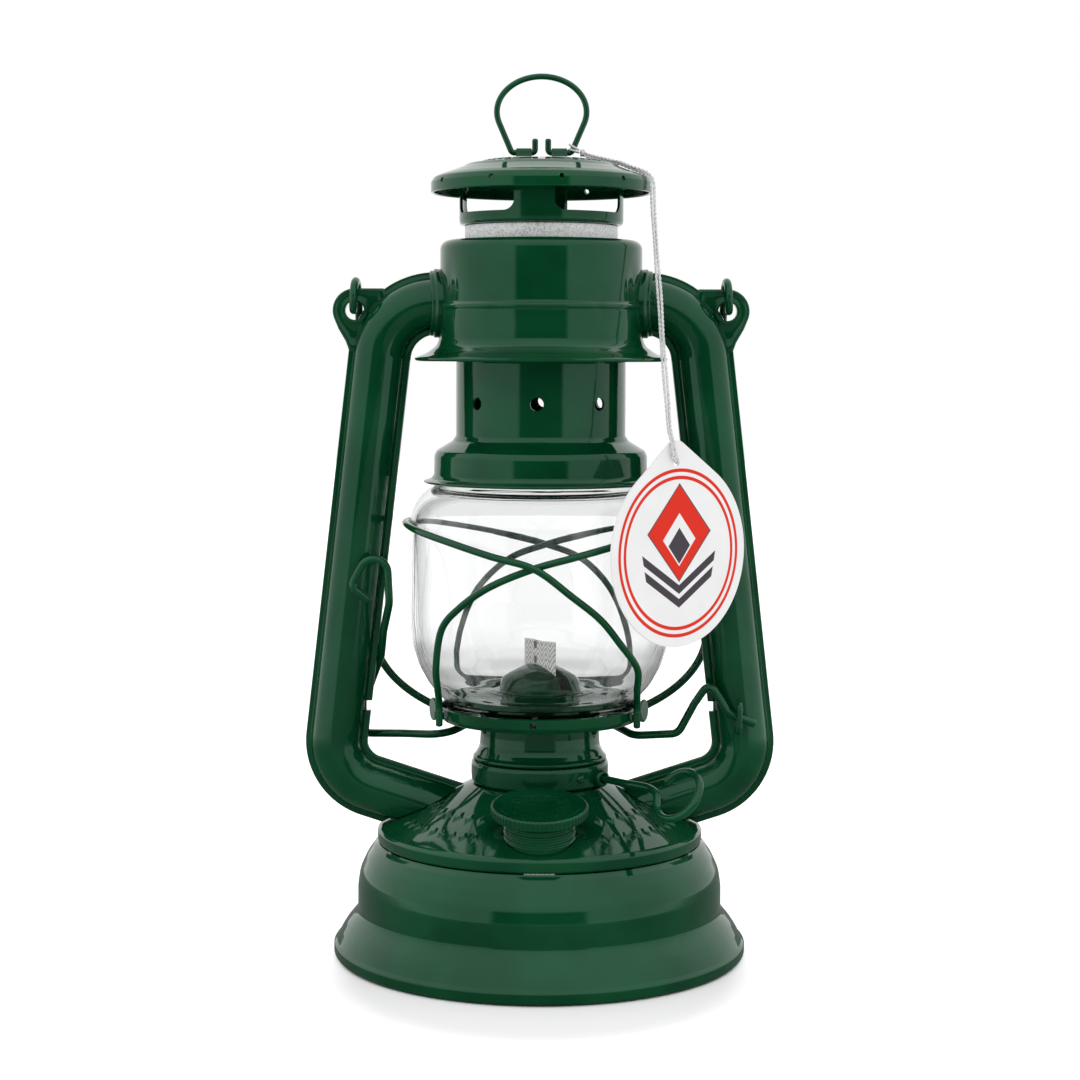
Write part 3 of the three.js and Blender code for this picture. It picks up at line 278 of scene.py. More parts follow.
def frames(path):
    """Tangent and two cross directions along a path; each cross direction is the last one made square to the
    new tangent, so a section carried along it doesn't twist."""
    tangent = unit(np.gradient(path, axis=0))
    normal = np.empty_like(tangent)
    normal[0] = unit(np.cross(tangent[0], np.eye(3)[np.argmin(abs(tangent[0]))]))
    for i in range(1, len(path)):
        square = normal[i - 1] - tangent[i] * (normal[i - 1] @ tangent[i])
        normal[i] = square / np.linalg.norm(square)
    return tangent, normal, np.cross(tangent, normal)


def tube(path, radius, sides=16, cap=0.999):
    """A circle carried along a path, closed by two flattened half balls: ring centres move out by r cos b while
    the ring radius shrinks as r sin b."""
    path = np.asarray(path, float)
    tangent, normal, across = frames(path)
    radius = np.broadcast_to(np.asarray(radius, float), (len(path),))
    dome = np.linspace(0, np.pi / 2, 5)[:-1]
    start = path[0] - tangent[0] * (radius[0] * cap * 0.6 * np.cos(dome))[:, None]
    end = path[-1] + tangent[-1] * (radius[-1] * cap * 0.6 * np.cos(dome[::-1]))[:, None]
    centres = np.vstack([start, path, end])
    radii = np.concatenate([radius[0] * np.sin(dome), radius, radius[-1] * np.sin(dome[::-1])])
    n = np.vstack([np.repeat(normal[:1], 4, 0), normal, np.repeat(normal[-1:], 4, 0)])
    b = np.vstack([np.repeat(across[:1], 4, 0), across, np.repeat(across[-1:], 4, 0)])
    angle = np.linspace(0, 2 * np.pi, sides, endpoint=False)[None, :, None]
    return centres[:, None] + radii[:, None, None] * (n[:, None] * np.cos(angle) + b[:, None] * np.sin(angle))


def slab(outline, centre, low, high, bevel=0.25):
    """A flat plate between two heights on Y: rings of one outline (x, z), which shrinks towards its centre by
    the bevel at both faces and then closes at the centre."""
    outline, centre = np.asarray(outline, float), np.asarray(centre, float)
    inset, middle = outline - unit(outline - centre) * bevel, centre + 0 * outline
    rings = ((middle, low), (inset, low), (outline, low + bevel),
             (outline, high - bevel), (inset, high), (middle, high))
    return np.array([np.stack([ring[:, 0], np.full(len(ring), y), ring[:, 1]], -1) for ring, y in rings])


def square(steps):
    """Two grids that run from -1 to 1, and the share of the way in from the nearest edge to the middle."""
    u, v = np.meshgrid(np.linspace(-1, 1, steps), np.linspace(-1, 1, steps), indexing="ij")
    return u, v, 1 - np.maximum(abs(u), abs(v))


class Shell:
    """Points and faces of one closed surface, with its faces outwards."""

    def __init__(self, points, faces):
        self.points, self.faces = np.asarray(points, float).reshape(-1, 3), faces
        corner = self.points[faces]
        volume = np.einsum("ij,ij->i", corner[:, 0], np.cross(corner[:, 1], corner[:, 2]))
        volume += np.einsum("ij,ij->i", corner[:, 0], np.cross(corner[:, 2], corner[:, 3]))
        if volume.sum() < 0:
            self.faces = faces[:, ::-1]


def quads(rows, columns, rows_closed=False, columns_closed=True):
    """The faces of a grid of points, row by row."""
    index = np.arange(rows * columns).reshape(rows, columns)
    low = index if rows_closed else index[:-1]
    high = np.roll(index, -1, 0) if rows_closed else index[1:]
    if columns_closed:
        made = np.stack([low, np.roll(low, -1, 1), np.roll(high, -1, 1), high], -1)
    else:
        made = np.stack([low[:, :-1], low[:, 1:], high[:, 1:], high[:, :-1]], -1)
    return made.reshape(-1, 4)


def skin(grid, rows_closed=False):
    """A closed surface from a grid whose columns run round; its first and last rows join, or each is a pole."""
    return Shell(grid, quads(*grid.shape[:2], rows_closed))


def closed_sweep(grid):
    """A wall's closed outline carried along a path, with each cut end closed by faces that join the outline's
    first half to its second half, read backwards."""
    rows, count = grid.shape[:2]
    i = np.arange(count // 2 - 1)
    cap = np.stack([i, i + 1, count - 2 - i, count - 1 - i], -1)
    return Shell(grid, np.vstack([quads(rows, count), cap[:, ::-1], cap + (rows - 1) * count]))


def raised(angle, radius, across, under, lift, sink):
    """A raised mark at an angle a about Z, closed between two grids: (r sin a + t cos a, -r cos a + t sin a) for
    each radius r and distance across t, at the sheet's height plus the lift, and below the sheet by the sink."""
    x = np.sin(angle) * radius + np.cos(angle) * across
    y = -np.cos(angle) * radius + np.sin(angle) * across
    top = np.stack([x, y, under + lift], -1)
    low = top.copy()
    low[..., 2] = top[..., 2] - lift - sink
    rows, columns = top.shape[:2]
    index = np.arange(rows * columns).reshape(rows, columns)
    rim = np.concatenate([index[0, :-1], index[:-1, -1], index[-1, :0:-1], index[:0:-1, 0]])
    upper = quads(rows, columns, False, False)
    lower = upper[:, ::-1] + rows * columns
    wall = np.stack([rim, rim + rows * columns, np.roll(rim, -1) + rows * columns, np.roll(rim, -1)], -1)
    return Shell(np.vstack([top.reshape(-1, 3), low.reshape(-1, 3)]), np.vstack([upper, lower, wall]))


def turned(line, thickness=SHEET, sides=160):
    """A sheet of the given outer line turned about Z."""
    return skin(lathe(sheet_loop(line, thickness), sides), not np.any(np.asarray(line)[:, 0] <= 1e-9))


def solid_turned(loop, sides=96):
    """A closed (r, z) outline turned about Z, or one that starts and ends on the axis."""
    loop = np.asarray(loop, float)
    return skin(lathe(loop, sides), not np.any(loop[:, 0] <= 1e-9))


def wire(path, radius, sides=16):
    """A round wire along a path."""
    return skin(tube(path, radius, sides))


def outward(angle):
    """The level direction (sin a, -cos a, 0): ahead at 0, and to the right at a quarter turn."""
    return np.array([math.sin(angle), -math.cos(angle), 0])


def facing(out):
    """The matrix that lays what was made upright about Z along a level direction."""
    return np.stack([np.cross([0, 0, 1], out), [0, 0, 1], out], -1)


def placed(shell, matrix, move=(0, 0, 0)):
    """The shell turned by a 3 x 3 matrix and moved."""
    shell.points = shell.points @ np.asarray(matrix, float).T + np.asarray(move, float)
    return shell


def turn_x(angle):
    """The matrix of a turn about X."""
    c, s = math.cos(angle), math.sin(angle)
    return np.array([[1, 0, 0], [0, c, -s], [0, s, c]])


def turn_y(angle):
    """The matrix of a turn about Y."""
    c, s = math.cos(angle), math.sin(angle)
    return np.array([[c, 0, s], [0, 1, 0], [-s, 0, c]])


def turn_z(angle):
    """The matrix of a turn about Z."""
    c, s = math.cos(angle), math.sin(angle)
    return np.array([[c, -s, 0], [s, c, 0], [0, 0, 1]])


def both_sides(shell):
    """The left shell, and its mirror image in the YZ plane on the right."""
    return shell, Shell(shell.points * [-1, 1, 1], shell.faces)


def mesh_of(name, shells):
    """One mesh from shells, in metres, with doubled points merged at seams and poles."""
    points, faces, start = [], [], 0
    for shell in shells:
        points.append(shell.points * MM)
        faces.append(shell.faces + start)
        start += len(shell.points)
    mesh = bpy.data.meshes.new(name)
    mesh.from_pydata(np.vstack(points).tolist(), [], np.vstack(faces).tolist())
    work = bmesh.new()
    work.from_mesh(mesh)
    bmesh.ops.remove_doubles(work, verts=work.verts, dist=2e-7)
    bmesh.ops.dissolve_degenerate(work, edges=work.edges, dist=2e-7)
    work.to_mesh(mesh)
    work.free()
    return mesh


def piece(name, shells, body, material, replaces=(), sharp=38, cuts=()):
    """A finished object: its mesh, with cutters' volumes taken out, its body and material; the parts it stands
    for are hidden.
    """
    shells = [shells] if isinstance(shells, Shell) else list(shells)
    thing = bpy.data.objects.new(name, mesh_of(name, shells))
    bpy.context.scene.collection.objects.link(thing)
    if cuts:
        knife = bpy.data.objects.new(name + "_cut", mesh_of(name + "_cut", list(cuts)))
        bpy.context.scene.collection.objects.link(knife)
        trim = thing.modifiers.new("cut", "BOOLEAN")
        trim.object, trim.operation, trim.solver = knife, "DIFFERENCE", "MANIFOLD"
        bpy.context.view_layer.update()
        result = bpy.data.meshes.new_from_object(thing.evaluated_get(bpy.context.evaluated_depsgraph_get()))
        thing.modifiers.clear()
        thing.data = result
        bpy.data.objects.remove(knife)
    if not thing.data.polygons:
        raise RuntimeError(f"{name} has no faces left")
    thing.data.shade_smooth()
    thing.data.set_sharp_from_angle(angle=math.radians(sharp))
    thing.data.materials.clear()
    thing.data.materials.append(material)
    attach(thing, body)
    if replaces:
        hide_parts(*replaces)
    return thing


def drill(radius, start, end, sides=32):
    """A round cutter between two points."""
    path = np.linspace(np.array(start, float), np.array(end, float), 3)
    return skin(tube(path, radius, sides, cap=0.01))


def box_cutter(low, high):
    """A box between two corners, as four rings of a rectangle."""
    low, high = np.array(low, float), np.array(high, float)
    flat = np.array([[low[0], low[2]], [high[0], low[2]], [high[0], high[2]], [low[0], high[2]]])
    return skin(slab(flat, flat.mean(0), low[1], high[1], NO_BEVEL))


# ---------- Shader maths ----------


class Value:
    """A socket in a node tree, so that sums and products of sockets are written as expressions."""

    def __init__(self, tree, socket):
        self.tree, self.socket = tree, socket

    def maths(self, operation, *others, swap=False):
        node = self.tree.nodes.new("ShaderNodeMath")
        node.operation = operation
        for slot, value in zip(node.inputs, (others[0], self) if swap else (self, *others)):
            connect(self.tree, value, slot)
        return Value(self.tree, node.outputs[0])

    def __add__(self, other):
        return self.maths("ADD", other)

    def __sub__(self, other):
        return self.maths("SUBTRACT", other)

    def __rsub__(self, other):
        return self.maths("SUBTRACT", other, swap=True)

    def __mul__(self, other):
        return self.maths("MULTIPLY", other)

    def __truediv__(self, other):
        return self.maths("DIVIDE", other)

    def __neg__(self):
        return self.maths("MULTIPLY", -1.0)

    def __gt__(self, other):
        return self.maths("GREATER_THAN", other)

    __radd__ = __add__

    def size(self):
        return self.maths("ABSOLUTE")

    def most(self, other):
        return self.maths("MAXIMUM", other)

    def wrapped(self, step):
        """The distance to the nearest multiple of a step."""
        return self.maths("PINGPONG", step / 2)

    def part(self, low, high):
        """Runs smoothly from 0 at low to 1 at high; low may be the larger."""
        return Paint(self.tree).node("ShaderNodeMapRange", {"interpolation_type": "SMOOTHSTEP"},
                                     {"Value": self, "From Min": low, "From Max": high})


def connect(tree, value, slot):
    """Links a value to a socket, or sets the socket to a plain number or colour."""
    if isinstance(value, Value):
        tree.links.new(value.socket, slot)
    elif value is not None:
        slot.default_value = value


class Paint:
    """A material's node tree and the few calls that fill it."""

    def __init__(self, tree):
        self.tree = tree

    @classmethod
    def emptied(cls, owner):
        """The calls for a material's or world's own tree, once it is empty."""
        owner.use_nodes = True
        owner.node_tree.nodes.clear()
        return cls(owner.node_tree)

    def node(self, kind, settings=None, values=None, out=0):
        """Adds a node of a type, applies its settings, then its sockets' values or links."""
        node = self.tree.nodes.new(kind)
        for name, value in (settings or {}).items():
            setattr(node, name, value)
        for name, value in (values or {}).items():
            connect(self.tree, value, node.inputs[name])
        return Value(self.tree, node.outputs[out])

    def noise(self, where, scale, detail=3.0, rough=0.5, stretch=None):
        if stretch:
            where = self.node("ShaderNodeMapping", None, {"Vector": where, "Scale": stretch})
        return self.node("ShaderNodeTexNoise", None, {
            "Vector": where, "Scale": scale, "Detail": detail, "Roughness": rough})

    def mix(self, share, first, second):
        return self.node("ShaderNodeMix", {"data_type": "RGBA"}, {0: share, 6: first, 7: second}, out=2)

    def bump(self, height, distance, strength=1.0, under=None):
        return self.node("ShaderNodeBump", None, {
            "Height": height, "Distance": distance, "Strength": strength, "Normal": under})

    def axes(self, vector):
        node = self.tree.nodes.new("ShaderNodeSeparateXYZ")
        connect(self.tree, vector, node.inputs[0])
        return [Value(self.tree, output) for output in node.outputs]

    def place(self):
        """Where a point lies on its own object, which is where it lies on the lamp."""
        return self.node("ShaderNodeTexCoord", out="Object")

    def ray(self, question):
        """1 for the rays that Light Path's question is true of, else 0."""
        return self.node("ShaderNodeLightPath", out=question)

    def show(self, shader, kind="ShaderNodeOutputMaterial"):
        connect(self.tree, shader, self.tree.nodes.new(kind).inputs["Surface"])


def new_material(name):
    """The calls that fill a new material, its Object coordinates, and the call that sets its sockets."""
    material = bpy.data.materials.new(name)
    paint = Paint.emptied(material)
    shader = material.node_tree.nodes.new("ShaderNodeBsdfPrincipled")
    paint.show(Value(material.node_tree, shader.outputs[0]))

    def finish(**sockets):
        for key, value in sockets.items():
            connect(material.node_tree, value, shader.inputs[key.replace("_", " ")])
        return material

    return paint, paint.place(), finish


def grey(value):
    return (value, value, value, 1.0)


def shade(colour, factor, lift=0.0):
    """A colour times a factor, plus a lift."""
    return tuple(c * factor + lift for c in colour[:3]) + (1.0,)


def enamel(name, colour, waviness=1.0):
    """Baked gloss enamel: an even coat that has run slightly, so its gloss waves a little, with fine dust."""
    paint, place, finish = new_material(name)
    broad = paint.noise(place, 42.0, 2.0)
    fine = paint.noise(place, 260.0, 3.0)
    dust = paint.noise(place, 1900.0, 2.0, 0.7)
    tone = paint.mix(broad.part(0.35, 0.68), shade(colour, 0.80), shade(colour, 1.16, 0.002))
    tone = paint.mix(dust.part(0.66, 0.80) * 0.04, tone, (0.10, 0.16, 0.13, 1.0))
    gloss = 0.05 + fine.part(0.35, 0.75) * 0.03 + dust.part(0.6, 0.85) * 0.04
    run = paint.bump(broad, 0.00018 * waviness, 0.5)
    coat = paint.bump(fine, 0.00004 * waviness, 0.5, run)
    return finish(Base_Color=tone, Roughness=gloss, Normal=coat, IOR=1.5, Specular_Tint=(0.56, 1.0, 0.76, 1.0))


def zinc(name, colour):
    """Dull galvanised sheet: bright grains of crystal among darker, rougher ones."""
    paint, place, finish = new_material(name)
    grains = paint.node("ShaderNodeTexVoronoi", {"feature": "F1"}, {"Vector": place, "Scale": 2400.0}, out=1)
    speck = paint.axes(grains)[0]
    blotch = paint.noise(place, 520.0, 4.0, 0.65)
    tone = paint.mix((speck * 0.6 + blotch * 0.6).part(0.15, 0.8), grey(0.50), colour)
    return finish(Base_Color=tone, Metallic=0.3, Roughness=0.42 + speck * 0.22,
                  Normal=paint.bump(blotch, 0.00012, 0.5))


def bare_metal(name, colour, rough=0.3):
    """Bare pressed or drawn metal with faint handling marks."""
    paint, place, finish = new_material(name)
    marks = paint.noise(place, 900.0, 4.0, 0.6, (1, 1, 0.2))
    tone = paint.mix(marks.part(0.3, 0.75), shade(colour, 0.72), colour)
    return finish(Base_Color=tone, Metallic=1.0, Roughness=rough + marks * 0.18,
                  Normal=paint.bump(marks, 0.00003, 0.4))


def clear_glass(name):
    """Clear blown glass whose outer face waves a little."""
    paint, place, finish = new_material(name)
    wave = paint.noise(place, 55.0, 2.0)
    return finish(Base_Color=(0.930, 0.936, 0.934, 1.0), Transmission_Weight=1.0, Specular_IOR_Level=0.3,
                  IOR=1.46, Roughness=0.0, Normal=paint.bump(wave, 0.00012, 0.35))


def cotton(name, colour, mark=(0.06, 0.05, 0.05, 1.0)):
    """Flat woven wick: slanted ribs of yarn that cross, with two dark marker threads. The grooves between the
    ribs are darkened as painted shade, and the wick glows faintly in its own colour as painted light, though it
    is no lamp.
    """
    paint, place, finish = new_material(name)
    where = paint.node("ShaderNodeMapping", None, {
        "Vector": place, "Rotation": (0, 0, math.pi / 2 - WICK_AZIMUTH)})
    x, _, z = paint.axes(where)
    column = x.wrapped(0.0036)
    seam = x.wrapped(0.0018) / 0.0009
    rib = (z + column * 1.5).wrapped(0.0017) / 0.00085 * (0.55 + seam * 0.45)
    fuzz = paint.noise(place, 3000.0, 3.0, 0.7)
    # Painted shade: the grooves between the ribs, which the bump also sinks, are darkened to 0.4 of the cotton's
    # colour.
    tone = paint.mix(rib.part(0.0, 0.55), shade(colour, 0.40), colour)
    thread = (x + 0.0012).size().part(0.0008, 0.0005) * (z - 0.0014).wrapped(0.0048).part(0.0013, 0.0009)
    tone = paint.mix(thread, tone, mark)
    tone = paint.mix(fuzz * 0.25, tone, grey(0.95))
    # Painted light: the wick's own colour is also a faint glow, so the wick looks lit inside the globe.
    return finish(Base_Color=tone, Roughness=0.92, Emission_Color=tone, Emission_Strength=0.28,
                  Normal=paint.bump(rib + fuzz * 0.4, 0.0004, 0.9))


def yarn(name, colour):
    """Thin twisted thread: fine fibres that lie at a slant."""
    paint, place, finish = new_material(name)
    fibre = paint.noise(place, 5200.0, 3.0, 0.7)
    lay = paint.noise(place, 1500.0, 2.0, 0.5)
    tone = paint.mix((fibre * 0.6 + lay * 0.5).part(0.3, 0.8), shade(colour, 0.55), colour)
    return finish(Base_Color=tone, Roughness=0.7, Normal=paint.bump(fibre, 0.00015, 0.8))


def rubber(name, colour=(0.02, 0.02, 0.02, 1.0)):
    """Dull moulded rubber with a light bloom."""
    paint, place, finish = new_material(name)
    bloom = paint.noise(place, 700.0, 4.0, 0.6)
    tone = paint.mix(bloom.part(0.4, 0.8), colour, grey(0.09))
    return finish(Base_Color=tone, Roughness=0.6 + bloom * 0.2, Normal=paint.bump(bloom, 0.00005, 0.4))


def printed_card(name, white, red, dark):
    """Coated white card with a generic print on its front: two red circles near the rim, an upright red rhombus
    with a pale and a dark one inside it, and two dark bars bent like a V below."""
    paint, place, finish = new_material(name)
    moved = paint.node("ShaderNodeVectorMath", {"operation": "SUBTRACT"}, {
        0: place, 1: tuple(c * MM for c in TAG_CENTRE)})
    x, y, z = paint.axes(moved)
    c, s = math.cos(TAG_TURN), math.sin(TAG_TURN)
    u = x * (c / MM) + y * (s / MM)
    v = z / MM
    front = (x * s - y * c) > 0.0

    def rhombus(wide, high, middle):
        """Below 1 inside the rhombus: |u| / half width + |v - middle| / half height."""
        return u.size() / wide + (v - middle).size() / high

    fibres = paint.noise(place, 2600.0, 3.0, 0.6)
    clouds = paint.noise(place, 90.0, 3.0, 0.5)
    card = paint.mix(clouds.part(0.3, 0.7), shade(white, 0.965), white)
    away = (u * u + (v + 2.7) * (v + 2.7)).maths("SQRT")
    circles = ((away - 22.9).size() - 1.05).size().part(0.62, 0.42)
    bent = v - u.size() * 0.62
    bars = ((bent + 15.3).size() - 2.0).size().part(1.35, 1.2) * (u.size() - bent * 0.25).part(18.2, 17.9)
    tone = card
    for share, ink in ((circles, red), (bars, dark),
                       (rhombus(12.9, 14.2, 3.2).part(1.02, 1.0), dark),
                       (rhombus(12.4, 13.7, 3.2).part(1.02, 1.0), red),
                       (rhombus(6.6, 7.6, 1.2).part(1.03, 0.99), card),
                       (rhombus(4.4, 5.2, -0.6).part(1.03, 0.99), dark)):
        tone = paint.mix(share * front, tone, ink)
    return finish(Base_Color=tone, Roughness=0.34 + fibres * 0.12, IOR=1.28,
                  Normal=paint.bump(fibres, 0.00002, 0.35))


# ---------- Settings ----------


def length_property(name, description, default):
    return bpy.props.FloatProperty(name=name, description=description, default=default, unit="LENGTH")


def steps_property(name, description, default, low, high):
    return bpy.props.IntProperty(name=name, description=description, default=default, min=low, max=high)


def colour_property(name, description, default):
    return bpy.props.FloatVectorProperty(name=name, description=description, subtype="COLOR", size=4,
                                         min=0, max=1, default=default)


class LanternSizes(bpy.types.PropertyGroup):
    sides: steps_property("Round steps", "Steps round the large turned pieces", 176, 48, 320)
    wire_sides: steps_property("Wire steps", "Steps round each wire", 18, 8, 32)
    ribs: steps_property("Cap ribs", "Ribs round the filler cap", 66, 20, 120)
    glass_wall: length_property("Glass wall", "Thickness of the globe", 0.0019)
    guard_wire: length_property("Guard wire", "Diameter of the globe guard's wire", GUARD_WIRE * MM)
    bail_wire: length_property("Bail wire", "Diameter of the wire of bail and lever", BAIL_WIRE * MM)
    ring_wire: length_property("Ring wire", "Diameter of the pull ring's wire", 0.0018)
    cord: length_property("String", "Diameter of the tag's twisted string", 0.0014)
    cord_length: length_property("String length", "Length of string from ring to tag", 0.110)


class LanternColours(bpy.types.PropertyGroup):
    enamel: colour_property("Enamel", "Gloss enamel of all sheet and wire", (0.0003, 0.045, 0.0142, 1))
    zinc: colour_property("Zinc", "Galvanised guide collar", (0.86, 0.87, 0.87, 1))
    steel: colour_property("Steel", "Bare steel", (0.55, 0.56, 0.57, 1))
    brass: colour_property("Brass", "Wick tube", (0.62, 0.45, 0.20, 1))
    cotton: colour_property("Cotton", "Wick", (0.90, 0.90, 0.88, 1))
    card: colour_property("Card", "Tag's white", (0.86, 0.86, 0.86, 1))
    print_red: colour_property("Print red", "Tag's red print", (0.72, 0.020, 0.004, 1))
    print_dark: colour_property("Print dark", "Tag's dark print", (0.055, 0.045, 0.055, 1))
    string: colour_property("String", "Twisted string", (0.92, 0.93, 0.93, 1))


class LanternStage(bpy.types.PropertyGroup):
    light: bpy.props.FloatProperty(name="Tent light", description="Strength of the white tent round the lamp",
                                   default=1.0, min=0, max=4)
    gap: bpy.props.FloatProperty(name="Dark gap", description="Half angle of the tent's dark opening in front",
                                 default=math.radians(29), subtype="ANGLE")


def millimetres(size):
    """A size of the settings in millimetres."""
    return getattr(bpy.context.scene.lantern_sizes, size) / MM


def steps(size):
    """A count of the settings."""
    return getattr(bpy.context.scene.lantern_sizes, size)


def material(name, maker, *colours, **more):
    """A material made once, from the named colours of the settings, and shared by name."""
    name = "finish_" + name
    chosen = [tuple(getattr(bpy.context.scene.lantern_colours, colour)) for colour in colours]
    return bpy.data.materials.get(name) or maker(name, *chosen, **more)


def enamelled(name, shells, body, *stands_for, cuts=()):
    """A piece in the lamp's enamel."""
    return piece(name, shells, body, material("enamel", enamel, "enamel"), stands_for, cuts=cuts)


def pressing(name, line, body, *stands_for, cuts=(), thickness=SHEET):
    """A piece of enamelled sheet, turned from its outer line."""
    return enamelled(name, turned(line, thickness, steps("sides")), body, *stands_for, cuts=cuts)


def bent_wire(name, path, diameter, body, stands_for, sides=None):
    """A piece of enamelled wire, whose coat waves less than that of the sheet."""
    coat = material("enamel_wire", enamel, "enamel", waviness=0.5)
    piece(name, wire(path, diameter / 2, sides or steps("wire_sides")), body, coat, (stands_for,))


# ---------- Pieces ----------


class LANTERN_OT_stage(bpy.types.Operator):
    """Camera, white tent with a dark gap in front, and floor"""

    bl_idname = "lantern.stage"
    bl_label = "Stage"

    def execute(self, context):
        self.camera(context.scene)
        self.tent(context.scene)
        self.floor(context.scene)
        return {"FINISHED"}

    def camera(self, scene):
        """Straight ahead of the lamp and a little above its middle, looking slightly down."""
        camera = bpy.data.objects.new("camera", bpy.data.cameras.new("camera"))
        scene.collection.objects.link(camera)
        scene.camera = camera
        data = camera.data
        data.sensor_width, data.sensor_fit = 36, "HORIZONTAL"
        data.lens, data.shift_y = CAMERA_LENS, CAMERA_SHIFT
        data.clip_start, data.clip_end = 0.01, 20
        camera.location = CAMERA_PLACE
        camera.rotation_euler = (math.pi / 2 - CAMERA_DOWN, CAMERA_ROLL, 0)

    def tent(self, scene):
        """White for the camera. For the lamp it grows brighter upwards, and is dark ahead within the gap's angle
        and between two heights."""
        stage = scene.lantern_stage
        scene.world = bpy.data.worlds.new("tent")
        paint = Paint.emptied(scene.world)
        x, y, z = paint.axes(paint.node("ShaderNodeTexCoord", out="Generated"))
        ahead = x.maths("ARCTAN2", -y).size().part(stage.gap + 0.05, stage.gap - 0.05)
        between = z.part(0.24, 0.09) * z.part(-0.75, -0.45)
        brighter_above = 0.95 + z.part(0.05, 0.8) * 0.28
        glow = (1.0 - ahead * between * 0.94) * brighter_above * stage.light
        seen = paint.ray("Is Camera Ray")
        light = paint.node("ShaderNodeBackground", None, {
            "Color": grey(1.0), "Strength": seen + (1.0 - seen) * glow})
        paint.show(light, "ShaderNodeOutputWorld")

    def floor(self, scene):
        """A round floor of white paper. For the camera it glows with painted light, except in an oval round and
        ahead of the foot, so that it meets the tent and keeps the lamp's shadow only in that oval; in
        reflections it is painted dark near the lamp and ahead of it."""
        radius = np.concatenate([np.linspace(0, 1, 40) ** 1.5 * 3000, [3000, 0]])
        height = np.concatenate([np.full(40, -0.2), [-1.0, -1.0]])
        shell = skin(lathe(np.stack([radius, height], -1), 64))
        floor = bpy.data.objects.new("floor", mesh_of("floor", [shell]))
        scene.collection.objects.link(floor)
        paper = bpy.data.materials.new("paper")
        paint = Paint.emptied(paper)
        x, y = paint.axes(paint.place())[:2]
        far = (x * x + y * y).maths("SQRT")
        ahead = x.maths("ARCTAN2", -y).size().part(0.56, 0.46)
        # Painted reflection: glossy rays see this floor as dark grey near the lamp and ahead of it, while the
        # camera sees it white.
        painted_dark_reflection = paint.ray("Is Glossy Ray") * far.part(0.75, 0.22).most(ahead * 0.9)
        matt, dim = (paint.node("ShaderNodeBsdfDiffuse", None, {"Color": grey(level)}) for level in (0.93, 0.22))
        ground = paint.node("ShaderNodeMixShader", None, {0: painted_dark_reflection, 1: matt, 2: dim})
        # Painted light: the camera's glow fills in the lamp's real shadow everywhere outside this oval round and
        # ahead of the foot.
        foot = x * x / 0.060**2 + (y + 0.030) * (y + 0.030) / 0.066**2
        lit = paint.ray("Is Camera Ray").most(paint.ray("Is Transmission Ray") * 0.25) * foot.part(0.70, 1.30)
        glow = paint.node("ShaderNodeEmission", None, {"Color": paint.mix(lit, grey(0.0), grey(0.40))})
        paint.show(paint.node("ShaderNodeAddShader", None, {0: ground, 1: glow}))
        floor.data.materials.append(paper)


